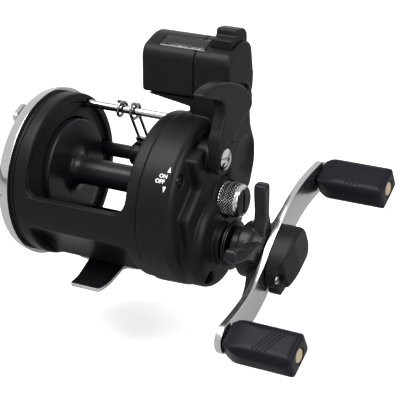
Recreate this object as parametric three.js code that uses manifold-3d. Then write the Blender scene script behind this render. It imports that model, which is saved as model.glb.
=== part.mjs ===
// A line counter reel: a conventional level-wind reel with a depth counter on its right side
// plate. Sizes are millimetres. X runs along the spool towards the handle, +Y points along
// the rod to its tip, +Z is up. The origin lies under the foot, on the face of the rod seat.

import * as THREE from 'three';
import { mergeVertices } from 'three/addons/utils/BufferGeometryUtils.js';
import Module from 'manifold-3d';

const wasm = await Module();
wasm.setup();

// Clearances between seated pieces and between running pieces, the overrun of a cut, and how
// far a joined piece reaches into the one that carries it
const SEAT = 0.3;
const RUN = 0.35;
const OVER = 1;
const SINK = 1;

// Driving sizes of the body. The right cover laps over the frame, and the foot hangs below it
const FRAME_RADIUS = 31.3;
const FRAME_GAP = 43;
const FLANGE_THICK = 5;
const COVER_LAP = 0.7;
const COVER_RADIUS = FRAME_RADIUS + COVER_LAP;
const COVER_WALL = COVER_RADIUS * 0.06875;
const FOOT_DROP = 2.7;
const SEAT_TO_AXIS = FRAME_RADIUS + FOOT_DROP;
const SPOOL_RISE = 2.5;
const SPOOL_PROUD = 2.6;
const ARBOR_RADIUS = 5.2;

// Driving sizes of the gear stack in the right cover, from the bridge plate outwards
const BRIDGE_THICK = 1.5;
const RATCHET_THICK = 1.4;
const MAIN_WIDTH = 2.2;
const PINION_STEP = 0.6;
const GROOVE_WIDTH = 1.2;
const PINION_TRAVEL = 2.5;
const STACK_CLEARANCE = 0.8;
const COVER_DEPTH = BRIDGE_THICK + RUN + RATCHET_THICK + RUN + MAIN_WIDTH + PINION_STEP
  + GROOVE_WIDTH + PINION_TRAVEL + SEAT + STACK_CLEARANCE + COVER_WALL;

// Driving sizes of the gear stack in the left plate
const GEAR_WIDTH = 1.5;
const GEAR_CLEARANCE = 0.6;
const PLATE_FLOOR = 1.6;
const LEFT_PLATE_DEPTH = 2 * GEAR_CLEARANCE + 2 * GEAR_WIDTH + PLATE_FLOOR;

// Driving sizes of the drive. The crank's axis lies below and behind the spool's
const HANDLE_BACK = COVER_RADIUS * 0.175;
const HANDLE_DROP = COVER_RADIUS * 0.397;
const MAIN_TEETH = 46;
const PINION_TEETH = 9;
const HANDLE_REACH = 40.9;
const STAR_LENGTH = 12.4;
const BLADE_THICK = 2.5;
const BLADE_WIDTH = 12;
const BLADE_SWEEP = 3.9;
const KNOB_LENGTH = 26.8;
const KNOB_WIDTH = 15;
const KNOB_THICK = 10.4;
const STAR_REACH = 26.4;

// Driving sizes of the level wind
const WORM_Y = FRAME_RADIUS * 0.786;
const WORM_Z = 3;
const TUBE_RADIUS = 2.8;
const SPOOL_GAP = 0.8;
const SPOOL_RADIUS = WORM_Y - TUBE_RADIUS - SPOOL_GAP;
const GUIDE_ROD_Y = FRAME_RADIUS * 0.422;
const GUIDE_ROD_Z = FRAME_RADIUS * 0.792;
const GUIDE_ROD_RADIUS = 1.5;
const GUIDE_X = -3.4;

// Driving sizes of the counter: how far it stands out from the cover's face, how far its seam lies
// inside the cover's rim, and the length of its left half
const COUNTER_PROUD = 6.4;
const SEAM_SETBACK = 5.2;
const COUNTER_LEFT_HALF = 21.4;
const COUNTER_BACK = COVER_RADIUS * 0.0125;
const COUNTER_BASE = COVER_RADIUS * 1.1875;
const COUNTER_HEIGHT = COVER_RADIUS * 0.64;
const COUNTER_LENGTH = COVER_RADIUS * 0.6375;

const FINE = 26;
const ROUND = 14;
const SMALL = 7;
const TURN = Math.PI * 2;
const rad = (degrees) => (degrees * Math.PI) / 180;

// Faces that several pieces share, all measured from the middle of the spool
const LEFT_IN = -FRAME_GAP / 2;
const LEFT_OUT = LEFT_IN - FLANGE_THICK;
const RIGHT_IN = FRAME_GAP / 2;
const RIGHT_OUT = RIGHT_IN + FLANGE_THICK;
const COVER_START = RIGHT_OUT + SEAT;
const COVER_FACE = COVER_START + COVER_DEPTH;
const COVER_INSIDE = COVER_FACE - COVER_WALL;
const COUNTER_RIGHT = COVER_FACE + COUNTER_PROUD;
const COUNTER_SEAM = COVER_START + SEAM_SETBACK;
const COUNTER_LEFT = COUNTER_SEAM - COUNTER_LEFT_HALF;
const SPOOL_AT = [0, SPOOL_RISE];
const HANDLE_AT = [-HANDLE_BACK, -HANDLE_DROP];
const WORM_AT = [WORM_Y, WORM_Z];
const GUIDE_AT = [GUIDE_ROD_Y, GUIDE_ROD_Z];

// A closed solid from a geometry, with its faces turned outwards
function solid(geometry) {
  const plain = geometry.clone();
  plain.deleteAttribute('normal');
  plain.deleteAttribute('uv');
  const merged = mergeVertices(plain);
  const place = merged.attributes.position.array;
  const index = merged.index.array;
  const kept = [];
  let volume = 0;
  const a = new THREE.Vector3();
  const b = new THREE.Vector3();
  const c = new THREE.Vector3();
  for (let i = 0; i < index.length; i += 3) {
    const [p, q, r] = [index[i], index[i + 1], index[i + 2]];
    if (p === q || q === r || r === p) continue;
    kept.push(p, q, r);
    a.fromArray(place, p * 3);
    b.fromArray(place, q * 3);
    c.fromArray(place, r * 3);
    volume += a.dot(b.cross(c));
  }
  if (volume < 0) kept.reverse();
  const mesh = new wasm.Mesh({
    numProp: 3,
    vertProperties: new Float32Array(place),
    triVerts: new Uint32Array(kept),
  });
  mesh.merge();
  return new wasm.Manifold(mesh);
}

const join = (first, ...rest) => rest.reduce((whole, piece) => whole.add(piece), first);
const cut = (first, ...rest) => rest.reduce((whole, piece) => whole.subtract(piece), first);

// Drawings lie in the YZ plane and are pushed along X
const DRAWN = new THREE.Matrix4().makeBasis(
  new THREE.Vector3(0, 1, 0), new THREE.Vector3(0, 0, 1), new THREE.Vector3(1, 0, 0));
const LATHED = new THREE.Matrix4().makeBasis(
  new THREE.Vector3(0, 0, 1), new THREE.Vector3(1, 0, 0), new THREE.Vector3(0, 1, 0));

function extrusion(shape, length, bevel, curveSegments) {
  const geometry = new THREE.ExtrudeGeometry(shape, {
    depth: length - 2 * bevel,
    steps: 1,
    curveSegments,
    bevelEnabled: bevel > 0,
    bevelThickness: bevel,
    bevelSize: bevel,
    bevelOffset: -bevel,
    bevelSegments: 1,
  });
  return geometry.translate(0, 0, bevel);
}

// A flat piece between two X planes, with rounded edges where bevel is given
function plate(shape, from, to, bevel = 0, curveSegments = 12) {
  const geometry = extrusion(shape, to - from, bevel, curveSegments).applyMatrix4(DRAWN);
  return solid(geometry.translate(from, 0, 0));
}

// A flat piece drawn in the XY plane, between two Z planes
function layer(shape, from, to, bevel = 0, curveSegments = 8) {
  const geometry = extrusion(shape, to - from, bevel, curveSegments);
  return solid(geometry.translate(0, 0, from));
}

// A turned piece: profile of [x, radius] about a line along X through at = [y, z]
function turned(profile, at = [0, 0], segments = ROUND) {
  const points = profile.map(([x, r]) => new THREE.Vector2(r, x));
  const closed = profile[0][1] > 0 || profile[profile.length - 1][1] > 0;
  if (closed) points.push(points[0].clone());
  const geometry = new THREE.LatheGeometry(points, segments).applyMatrix4(LATHED);
  return solid(geometry.translate(0, at[0], at[1]));
}

const rod = (from, to, radius, at = [0, 0], segments = ROUND) =>
  turned([[from, 0], [from, radius], [to, radius], [to, 0]], at, segments);

// A round hole's cutter, wide enough for its flats to clear the radius
const hole = (from, to, radius, at = [0, 0], segments = ROUND) =>
  rod(from, to, radius / Math.cos(Math.PI / segments), at, segments);

const tube = (from, to, outer, inner, at = [0, 0], segments = ROUND) =>
  cut(rod(from, to, outer, at, segments), hole(from - OVER, to + OVER, inner, at, segments));

// A turned piece that stands upright at x, y: profile of [z, radius]
function upright(profile, x, y, segments = ROUND) {
  const geometry = new THREE.LatheGeometry(profile.map(([z, r]) => new THREE.Vector2(r, z)), segments);
  return solid(geometry.rotateX(Math.PI / 2).translate(x, y, 0));
}

function outline(points) {
  const shape = new THREE.Shape();
  points.forEach(([y, z], i) => (i ? shape.lineTo(y, z) : shape.moveTo(y, z)));
  shape.closePath();
  return shape;
}

// An outline whose corners are rounded by the third number of each point
function rounded(points) {
  const shape = new THREE.Shape();
  const count = points.length;
  points.forEach(([y, z, radius = 0], i) => {
    const before = points[(i + count - 1) % count];
    const after = points[(i + 1) % count];
    const corner = new THREE.Vector2(y, z);
    const back = new THREE.Vector2(before[0], before[1]).sub(corner);
    const ahead = new THREE.Vector2(after[0], after[1]).sub(corner);
    const trim = Math.min(radius, back.length() / 2, ahead.length() / 2);
    const enter = back.setLength(trim).add(corner);
    const leave = ahead.setLength(trim).add(corner);
    if (i) shape.lineTo(enter.x, enter.y);
    else shape.moveTo(enter.x, enter.y);
    if (trim > 0) shape.quadraticCurveTo(corner.x, corner.y, leave.x, leave.y);
  });
  shape.closePath();
  return shape;
}

function box(x0, x1, y0, y1, z0, z1) {
  return plate(outline([[y0, z0], [y1, z0], [y1, z1], [y0, z1]]), x0, x1);
}

const polar = (at, radius, angle) =>
  [at[0] + radius * Math.cos(angle), at[1] + radius * Math.sin(angle)];

// Spur gear teeth: trapeziums whose flanks lean like a 20 degree rack, thinned for backlash
const FLANK = Math.tan(rad(20));
const TIP_SHARE = 0.82;
const ROOT_SHARE = 1.12;
const BACKLASH_SHARE = 0.11;

function gearOutline(teeth, pitchRadius, phase, at) {
  const module = (2 * pitchRadius) / teeth;
  const tip = pitchRadius + module * TIP_SHARE;
  const root = pitchRadius - module * ROOT_SHARE;
  const half = TURN / teeth / 4 - (module * BACKLASH_SHARE) / pitchRadius;
  const halfTip = half - ((tip - pitchRadius) * FLANK) / pitchRadius;
  const halfRoot = half + ((pitchRadius - root) * FLANK) / pitchRadius;
  const points = [];
  for (let i = 0; i < teeth; i += 1) {
    const angle = phase + (i * TURN) / teeth;
    points.push(polar(at, root, angle - halfRoot), polar(at, tip, angle - halfTip));
    points.push(polar(at, tip, angle + halfTip), polar(at, root, angle + halfRoot));
  }
  return outline(points);
}

const gear = (teeth, pitchRadius, phase, at, from, to, bore) =>
  cut(plate(gearOutline(teeth, pitchRadius, phase, at), from, to),
    rod(from - OVER, to + OVER, bore, at, SMALL));

// The phase that puts a gear's gap against the tooth of the gear it meshes with
function meshPhase(driver, driverAt, driven, drivenAt) {
  const angle = Math.atan2(drivenAt[1] - driverAt[1], drivenAt[0] - driverAt[0]);
  const across = ((angle - driver.phase) * driver.teeth) / TURN;
  return angle + Math.PI - ((0.5 - across) * TURN) / driven.teeth;
}

// The point at the given distances from a and b, on the right hand of the way from a to b
function meet(a, fromA, b, fromB) {
  const span = Math.hypot(b[0] - a[0], b[1] - a[1]);
  const along = (fromA * fromA - fromB * fromB + span * span) / (2 * span);
  const off = Math.sqrt(Math.max(fromA * fromA - along * along, 0));
  const [uy, uz] = [(b[0] - a[0]) / span, (b[1] - a[1]) / span];
  return [a[0] + along * uy + off * uz, a[1] + along * uz - off * uy];
}

const group = new THREE.Group();
const reel = new THREE.Group();
reel.position.z = SEAT_TO_AXIS;
group.add(reel);

const FINISHES = {
  graphite: { color: 0x17181a, roughness: 0.5, metalness: 0 },
  satinBlack: { color: 0x101113, roughness: 0.4, metalness: 0.2 },
  rubber: { color: 0x1b1d20, roughness: 0.7, metalness: 0 },
  chrome: { color: 0xd8d9da, roughness: 0.15, metalness: 1 },
  steel: { color: 0x9a9c9e, roughness: 0.35, metalness: 1 },
  brass: { color: 0xb59a5b, roughness: 0.35, metalness: 1 },
  aluminium: { color: 0xc9cbcd, roughness: 0.3, metalness: 1 },
  cream: { color: 0xb8a88c, roughness: 0.45, metalness: 0 },
  carbon: { color: 0x2a2a2c, roughness: 0.8, metalness: 0 },
  nylon: { color: 0xe8e6df, roughness: 0.5, metalness: 0 },
  lens: { color: 0x8f989c, roughness: 0.05, metalness: 0 },
};

function add(name, finish, piece) {
  const { vertProperties, triVerts } = piece.getMesh();
  const geometry = new THREE.BufferGeometry();
  geometry.setAttribute('position', new THREE.BufferAttribute(new Float32Array(vertProperties), 3));
  geometry.setIndex(new THREE.BufferAttribute(new Uint32Array(triVerts), 1));
  geometry.computeVertexNormals();
  const mesh = new THREE.Mesh(geometry, new THREE.MeshStandardMaterial(FINISHES[finish]));
  mesh.name = name;
  reel.add(mesh);
}

// Frame: one graphite moulding, two round flanges joined by the cradle behind and under the spool
const SPOOL_CLEARANCE = 0.5;
const SPOOL_BORE = SPOOL_RADIUS + SPOOL_CLEARANCE;
const RIM_WIDTH = 3;
const DISH_RADIUS = FRAME_RADIUS - RIM_WIDTH;
const FRAME_EDGE = 0.6;
const BLIND_WALL = 1;
const CRADLE_INNER = SPOOL_RADIUS + SPOOL_RISE;
const FOOT_THICK = 1.5;
const FOOT_RISE = 4;
const FOOT_TOP = FOOT_THICK + FOOT_RISE - SEAT_TO_AXIS;
const CRADLE_FLOOR = FOOT_TOP + SEAT;
const SCREW_RADIUS = 1.1;
const HEAD_RADIUS = 2.1;
const HEAD_HEIGHT = 1.2;
const SLOT_DEPTH = 0.5;
const SLOT_HALF = 0.3;
const BOSS_WALL = 1;
const COVER_SCREW_INSET = 4.6;
const COVER_SCREW_RING = COVER_RADIUS - COVER_SCREW_INSET;
const COVER_SCREW_ANGLES = [rad(146), rad(239), rad(342)];
const PLATE_SCREW_INSET = 4.4;
const PLATE_SCREW_RING = FRAME_RADIUS - PLATE_SCREW_INSET;
const PLATE_SCREW_ANGLES = [rad(85), rad(205), rad(325)];
const RIVET_X = 10;

function cradleOutline() {
  const panelTop = rad(178.5);
  const panelFoot = rad(202);
  const frontLip = rad(310);
  const panelInner = FRAME_RADIUS * 0.88;
  const padHalf = FRAME_RADIUS * 0.36;
  const shape = new THREE.Shape();
  const start = polar([0, 0], FRAME_RADIUS, panelTop);
  shape.moveTo(start[0], start[1]);
  shape.absarc(0, 0, FRAME_RADIUS, panelTop, panelFoot, false);
  const hollow = polar([0, 0], FRAME_RADIUS * 0.79, rad(226));
  shape.quadraticCurveTo(hollow[0], hollow[1], -padHalf, CRADLE_FLOOR);
  shape.lineTo(padHalf, CRADLE_FLOOR);
  const lip = polar([0, 0], FRAME_RADIUS * 0.93, frontLip);
  shape.lineTo(lip[0], lip[1]);
  const inner = polar([0, 0], CRADLE_INNER, frontLip);
  shape.lineTo(inner[0], inner[1]);
  shape.absarc(0, 0, CRADLE_INNER, frontLip, rad(208), true);
  shape.absarc(0, 0, panelInner, rad(199), panelTop, true);
  shape.closePath();
  return shape;
}

function frame() {
  const dish = FLANGE_THICK * 0.4;
  const side = (inner, outer) => {
    const sign = Math.sign(outer);
    const disc = turned([[outer, 0], [outer, FRAME_RADIUS], [inner + sign * FRAME_EDGE, FRAME_RADIUS],
      [inner, FRAME_RADIUS - FRAME_EDGE], [inner, 0]], [0, 0], FINE);
    const hollow = turned([[inner - sign * OVER, 0], [inner - sign * OVER, DISH_RADIUS + OVER],
      [inner, DISH_RADIUS], [inner + sign * dish, DISH_RADIUS - dish], [inner + sign * dish, 0]],
    [0, 0], FINE);
    return cut(disc, hollow, rod(inner - OVER - FLANGE_THICK, outer + OVER + FLANGE_THICK, SPOOL_BORE,
      SPOOL_AT, FINE));
  };
  let body = join(side(LEFT_IN, LEFT_OUT), side(RIGHT_IN, RIGHT_OUT),
    plate(cradleOutline(), LEFT_OUT + dish, RIGHT_OUT - dish, 0, 10));
  for (const [from, to] of [[LEFT_OUT, LEFT_IN], [RIGHT_IN, RIGHT_OUT]]) {
    body = cut(body,
      hole(from - OVER, to + OVER, GUIDE_ROD_RADIUS + SEAT, GUIDE_AT, SMALL),
      hole(from - OVER, to + OVER, TUBE_RADIUS + SEAT, WORM_AT, SMALL));
  }
  for (const angle of [COVER_SCREW_ANGLES[0], COVER_SCREW_ANGLES[2]]) {
    const at = polar([0, 0], COVER_SCREW_RING, angle);
    body = cut(body, hole(RIGHT_IN + BLIND_WALL, RIGHT_OUT + OVER, SCREW_RADIUS + SEAT, at, SMALL));
  }
  for (const angle of PLATE_SCREW_ANGLES) {
    const at = polar([0, 0], PLATE_SCREW_RING, angle);
    body = cut(body, hole(LEFT_OUT - OVER, LEFT_IN - BLIND_WALL, SCREW_RADIUS + SEAT, at, SMALL));
  }
  for (const x of [-RIVET_X, RIVET_X]) {
    const hole = new THREE.CylinderGeometry(SCREW_RADIUS + SEAT, SCREW_RADIUS + SEAT, FOOT_RISE, SMALL);
    hole.rotateX(Math.PI / 2).translate(x, 0, CRADLE_FLOOR);
    body = cut(body, solid(hole));
  }
  return body;
}

add('frame', 'graphite', frame());

// Foot: a bent steel plate, raised in the middle to clear the heads of its two rivets
const FOOT_HALF_LENGTH = 25.5;
const FOOT_PAD = 6;
const FOOT_SADDLE = 9;
const FOOT_SADDLE_WIDTH = 28;
const FOOT_ROOT_WIDTH = 15.7;
const FOOT_TIP_WIDTH = 12.8;
const FOOT_CORNER = 1.6;
const FOOT_SHOULDER = 1;

function foot() {
  const shape = new THREE.Shape();
  const padTop = FOOT_TOP - FOOT_RISE;
  const bend = FOOT_HALF_LENGTH - FOOT_PAD;
  const points = [[-FOOT_HALF_LENGTH, padTop], [-bend, padTop], [-FOOT_SADDLE, FOOT_TOP],
    [FOOT_SADDLE, FOOT_TOP], [bend, padTop], [FOOT_HALF_LENGTH, padTop]];
  points.forEach(([y, z], i) => (i ? shape.lineTo(y, z) : shape.moveTo(y, z)));
  points.reverse().forEach(([y, z]) => shape.lineTo(y, z - FOOT_THICK));
  const half = FOOT_SADDLE_WIDTH / 2;
  const root = FOOT_ROOT_WIDTH / 2;
  const tip = FOOT_TIP_WIDTH / 2;
  const quarter = [[tip, FOOT_HALF_LENGTH, FOOT_CORNER], [root, FOOT_SADDLE, FOOT_CORNER],
    [half, FOOT_SADDLE - FOOT_SHOULDER, FOOT_CORNER]];
  const mirror = (sx, sy, list) => list.map(([x, y, r]) => [sx * x, sy * y, r]);
  const plan = rounded([...quarter, ...mirror(1, -1, quarter).reverse(),
    ...mirror(-1, -1, quarter), ...mirror(-1, 1, quarter).reverse()]);
  let body = plate(shape, -half - OVER, half + OVER);
  body = body.intersect(layer(plan, -SEAT_TO_AXIS - OVER, FOOT_TOP + OVER));
  for (const x of [-RIVET_X, RIVET_X]) {
    const rivet = [[FOOT_TOP - FOOT_THICK * 2, 0], [FOOT_TOP - FOOT_THICK * 2, HEAD_RADIUS * 0.7],
      [FOOT_TOP - FOOT_THICK * 1.4, HEAD_RADIUS], [FOOT_TOP - FOOT_THICK / 2, HEAD_RADIUS],
      [FOOT_TOP - FOOT_THICK / 2, SCREW_RADIUS], [FOOT_TOP + FOOT_RISE / 3, SCREW_RADIUS],
      [FOOT_TOP + FOOT_RISE / 3, 0]];
    body = join(body, upright(rivet, x, 0, SMALL));
  }
  return body;
}

add('foot', 'satinBlack', foot());

// Spool: a turned aluminium drum on its steel shaft
const SPOOL_OUT = RIGHT_IN + FLANGE_THICK * 0.36;
const SPOOL_FACE = RIGHT_IN - SPOOL_PROUD;
const SHAFT_RADIUS = 1.9;
const PINION_SHAFT = 1.25;
const SPOOL_LIP = 0.7;

function spool() {
  const flare = ARBOR_RADIUS * 0.7;
  const edge = SPOOL_FACE + SPOOL_LIP;
  const half = [[0, ARBOR_RADIUS], [SPOOL_FACE - flare, ARBOR_RADIUS],
    [SPOOL_FACE - flare * 0.3, ARBOR_RADIUS + flare * 0.25], [SPOOL_FACE, ARBOR_RADIUS + flare],
    [SPOOL_FACE, SPOOL_RADIUS - SPOOL_LIP], [edge, SPOOL_RADIUS], [SPOOL_OUT - SPOOL_LIP, SPOOL_RADIUS],
    [SPOOL_OUT, SPOOL_RADIUS - SPOOL_LIP], [SPOOL_OUT, SPOOL_RADIUS * 0.88],
    [edge * 1.04, SPOOL_RADIUS * 0.8], [edge * 1.04, ARBOR_RADIUS], [SPOOL_OUT, ARBOR_RADIUS],
    [SPOOL_OUT, 0]];
  const mirror = half.slice(1).map(([x, r]) => [-x, r]).reverse();
  const body = turned([...mirror, ...half], SPOOL_AT, FINE);
  return cut(body, hole(-SPOOL_OUT - OVER, SPOOL_OUT + OVER, SHAFT_RADIUS + SEAT, SPOOL_AT, SMALL));
}

add('spool', 'satinBlack', spool());

// Left side: plate, trim ring, level wind gears and the clicker
const PLATE_RADIUS = FRAME_RADIUS - SEAT;
const PLATE_START = LEFT_OUT - SEAT;
const PLATE_FACE = PLATE_START - LEFT_PLATE_DEPTH;
const PLATE_INSIDE = PLATE_FACE + PLATE_FLOOR;
const PLATE_WALL = 1.1;
const PLATE_EDGE = 1.6;
const PLATE_DOME = 0.5;
const HUB_EDGE = 1;
const HUB_RADIUS = 8;
const HUB_PROUD = 2.6;
const BEARING_RADIUS = 4;
const BEARING_WIDTH = 2.3;
const LEFT_BEARING_OUT = PLATE_FACE - PLATE_DOME;
const LEFT_BEARING_IN = LEFT_BEARING_OUT + BEARING_WIDTH;
const NEAR_PLANE = LEFT_OUT - GEAR_CLEARANCE;
const FAR_PLANE = NEAR_PLANE - GEAR_WIDTH - RUN;
const WIND_TEETH = { spool: 10, idlerWheel: 29, idlerPinion: 19, cog: 11 };
const WIND_SPAN = Math.hypot(WORM_AT[0] - SPOOL_AT[0], WORM_AT[1] - SPOOL_AT[1]);
const WIND_TEETH_SUM = Object.values(WIND_TEETH).reduce((sum, teeth) => sum + teeth, 0);
const WIND_MODULE = (2 * WIND_SPAN) / WIND_TEETH_SUM;
const windRadius = (name) => (WIND_TEETH[name] * WIND_MODULE) / 2;

// The idler sits where both of its gears mesh
const IDLER_AT = meet(SPOOL_AT, windRadius('spool') + windRadius('idlerWheel'), WORM_AT,
  windRadius('idlerPinion') + windRadius('cog'));
const IDLER_PIN = 1.5;

// The clicker slides in a slot near the plate's rim, its head lies over the trim ring, and the slot
// is as much longer as it travels
const RING_THICK = 0.6;
const CLICKER_ANGLE = rad(116);
const CLICKER_INSET = 5.7;
const CLICKER_RING = FRAME_RADIUS - CLICKER_INSET;
const CLICKER_TRAVEL = 3.5;
const CLICKER_LENGTH = 8;
const CLICKER_WIDTH = 6.4;
const CLICKER_HEIGHT = 3.6;
const CLICKER_STEM = 2.6;
const CLICKER_OVERHANG = 2.2;
const CLICKER_FOOT = 4.4;
const CLICKER_HEAD = 1;
const CLICKER_EDGE = 0.8;
const CLICKER_AT = polar([0, 0], CLICKER_RING, CLICKER_ANGLE);

// An oblong across the clicker's radius, its middle shifted along the slot
function clickerOblong(length, width, shift, from, to, edge, outwards = 0) {
  const along = CLICKER_ANGLE + Math.PI / 2;
  const corner = (l, w) =>
    [...polar(polar(CLICKER_AT, w + outwards, CLICKER_ANGLE), l + shift, along), width * 0.3];
  const [l, w] = [length / 2, width / 2];
  return plate(rounded([corner(-l, -w), corner(-l, w), corner(l, w), corner(l, -w)]), from, to, edge, 3);
}

function leftPlate() {
  let body = turned([[PLATE_START, 0], [PLATE_START, PLATE_RADIUS],
    [PLATE_FACE + PLATE_EDGE / 2, PLATE_RADIUS], [PLATE_FACE, PLATE_RADIUS - PLATE_EDGE],
    [PLATE_FACE - PLATE_DOME, PLATE_RADIUS * 0.6], [PLATE_FACE - PLATE_DOME, 0]], [0, 0], FINE);
  body = join(body, turned([[PLATE_FACE + SINK, 0], [PLATE_FACE + SINK, HUB_RADIUS + HUB_EDGE],
    [PLATE_FACE - HUB_PROUD, HUB_RADIUS - HUB_EDGE], [PLATE_FACE - HUB_PROUD, 0]], SPOOL_AT, ROUND));
  body = cut(body, rod(PLATE_INSIDE, PLATE_START + OVER, PLATE_RADIUS - PLATE_WALL, [0, 0], FINE));
  body = join(body, rod(PLATE_INSIDE - SINK, NEAR_PLANE - GEAR_WIDTH / 2, IDLER_PIN, IDLER_AT, SMALL));
  const reach = rod(PLATE_FACE - PLATE_DOME - OVER, PLATE_START, PLATE_RADIUS, [0, 0], FINE);
  for (const angle of PLATE_SCREW_ANGLES) {
    const at = polar([0, 0], PLATE_SCREW_RING, angle);
    const boss = rod(PLATE_INSIDE - SINK, PLATE_START, HEAD_RADIUS + BOSS_WALL, at, SMALL);
    const above = PLATE_FACE - PLATE_DOME - OVER;
    body = cut(join(body, boss.intersect(reach)),
      hole(above, PLATE_START + OVER, SCREW_RADIUS + SEAT, at, SMALL),
      hole(above, PLATE_FACE + HEAD_HEIGHT + SEAT, HEAD_RADIUS + SEAT, at, SMALL));
  }
  return cut(body, hole(LEFT_BEARING_OUT - SEAT, PLATE_START, BEARING_RADIUS + SEAT, SPOOL_AT),
    clickerOblong(CLICKER_STEM + CLICKER_TRAVEL + 2 * RUN, CLICKER_STEM + 2 * RUN, CLICKER_TRAVEL / 2,
      PLATE_FACE - PLATE_DOME - OVER, PLATE_START, 0));
}

add('left_side_plate', 'graphite', leftPlate());

function clickerButton() {
  const face = PLATE_FACE - PLATE_DOME - RUN;
  const inside = PLATE_INSIDE + RUN;
  return join(clickerOblong(CLICKER_LENGTH, CLICKER_WIDTH, 0, face - RING_THICK - CLICKER_HEIGHT,
    face - RING_THICK, CLICKER_EDGE, CLICKER_OVERHANG),
  clickerOblong(CLICKER_STEM, CLICKER_STEM, 0, face - RING_THICK - SINK, inside + SINK / 2, 0),
  clickerOblong(CLICKER_FOOT, CLICKER_FOOT, 0, inside, inside + CLICKER_HEAD, 0));
}

add('clicker_button', 'satinBlack', clickerButton());

function plateScrew(angle) {
  const at = polar([0, 0], PLATE_SCREW_RING, angle);
  const face = PLATE_FACE;
  const seat = face + HEAD_HEIGHT;
  const head = turned([[face, 0], [face, HEAD_RADIUS * 0.8], [face + SLOT_DEPTH, HEAD_RADIUS],
    [seat, HEAD_RADIUS], [seat, 0]], at, SMALL);
  const slot = box(face - OVER, face + SLOT_DEPTH, at[0] - HEAD_RADIUS, at[0] + HEAD_RADIUS,
    at[1] - SLOT_HALF, at[1] + SLOT_HALF);
  return join(cut(head, slot),
    rod(seat - SINK / 2, LEFT_IN - BLIND_WALL - SEAT, SCREW_RADIUS, at, SMALL));
}

PLATE_SCREW_ANGLES.forEach((angle, i) => add(`plate_screw_${i + 1}`, 'steel', plateScrew(angle)));

// The bright ring clipped over the plate's rim, split at the back
const RING_LAP = 1.5;
const RING_WALL = 1.3;
const RING_SLOPE = 1.8;
const RING_LIP = 1.9;
const RING_NOTCH = 1.5;

function trimRing() {
  const inner = PLATE_RADIUS + SEAT;
  const start = PLATE_START - RING_LAP;
  const end = PLATE_FACE - SEAT;
  const ring = turned([[start, inner], [start, inner + RING_WALL],
    [end + RING_SLOPE, inner + RING_WALL - SEAT], [end, inner + SEAT],
    [end - RING_THICK, inner - RING_THICK], [end - RING_THICK, inner - RING_LIP],
    [end, inner - RING_LIP], [end, inner - PLATE_EDGE * 0.6], [end + PLATE_EDGE * 0.6, inner]],
  [0, 0], FINE);
  const [y, z] = polar([0, 0], inner + RING_WALL, Math.PI);
  return cut(ring, box(end - RING_THICK - OVER, end + RING_SLOPE, y - OVER, y + RING_NOTCH,
    z - SLOT_HALF, z + SLOT_HALF));
}

add('left_trim_ring', 'chrome', trimRing());

const SPOOL_GEAR = { teeth: WIND_TEETH.spool, phase: 0 };
const IDLER_WHEEL = { teeth: WIND_TEETH.idlerWheel };
IDLER_WHEEL.phase = meshPhase(SPOOL_GEAR, SPOOL_AT, IDLER_WHEEL, IDLER_AT);
const IDLER_PINION = { teeth: WIND_TEETH.idlerPinion, phase: 0 };
const WORM_COG = { teeth: WIND_TEETH.cog };
WORM_COG.phase = meshPhase(IDLER_PINION, IDLER_AT, WORM_COG, WORM_AT);
const COG_BORE = 1.2;

function idlerGear() {
  const wheel = gear(IDLER_WHEEL.teeth, windRadius('idlerWheel'), IDLER_WHEEL.phase, IDLER_AT,
    FAR_PLANE - GEAR_WIDTH, FAR_PLANE, IDLER_PIN + RUN);
  const pinion = gear(IDLER_PINION.teeth, windRadius('idlerPinion'), IDLER_PINION.phase, IDLER_AT,
    FAR_PLANE - SEAT, NEAR_PLANE, IDLER_PIN + RUN);
  return join(wheel, pinion);
}

add('idler_gear', 'nylon', idlerGear());
add('worm_cog', 'nylon', gear(WORM_COG.teeth, windRadius('cog'), WORM_COG.phase, WORM_AT,
  NEAR_PLANE - GEAR_WIDTH, NEAR_PLANE, COG_BORE + SEAT));

// Bearings carry the spool shaft at both ends
const BEARING_SETBACK = 1;
const RIGHT_BEARING_IN = COVER_FACE + BEARING_SETBACK;
const RIGHT_BEARING_OUT = RIGHT_BEARING_IN + BEARING_WIDTH;
add('spool_bearing_left', 'steel', tube(LEFT_BEARING_OUT, LEFT_BEARING_IN, BEARING_RADIUS,
  SHAFT_RADIUS + SEAT, SPOOL_AT, ROUND));
add('spool_bearing_right', 'steel', tube(RIGHT_BEARING_IN, RIGHT_BEARING_OUT, BEARING_RADIUS,
  SHAFT_RADIUS + SEAT, SPOOL_AT, ROUND));

// Gear bridge: the plate that closes the frame's right flange and carries the gear train
const BRIDGE_IN = COVER_START;
const BRIDGE_OUT = BRIDGE_IN + BRIDGE_THICK;
const COVER_BORE = COVER_RADIUS - COVER_WALL;
const DRIVE_RADIUS = 3;
const RATCHET_IN = BRIDGE_OUT + RUN;
const RATCHET_OUT = RATCHET_IN + RATCHET_THICK;
const MAIN_IN = RATCHET_OUT + RUN;
const MAIN_OUT = MAIN_IN + MAIN_WIDTH;
const AXLE_SPAN = Math.hypot(HANDLE_AT[0] - SPOOL_AT[0], HANDLE_AT[1] - SPOOL_AT[1]);
const MAIN_RADIUS = (AXLE_SPAN * MAIN_TEETH) / (MAIN_TEETH + PINION_TEETH);
const PINION_RADIUS = (AXLE_SPAN * PINION_TEETH) / (MAIN_TEETH + PINION_TEETH);
const PINION_HUB = 3.2;
const PINION_LIP = 0.8;
const PINION_CLEARANCE = 1;
const GROOVE_IN = MAIN_OUT + PINION_STEP;
const GROOVE_OUT = GROOVE_IN + GROOVE_WIDTH;
const PINION_END = GROOVE_OUT + PINION_LIP;
const YOKE_POST_BACK = 8.6;
const YOKE_POST_RISE = 3.9;
const YOKE_POSTS = [[-YOKE_POST_BACK, SPOOL_RISE + YOKE_POST_RISE],
  [YOKE_POST_BACK, SPOOL_RISE - YOKE_POST_RISE]];
const POST_RADIUS = 1.2;
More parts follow.
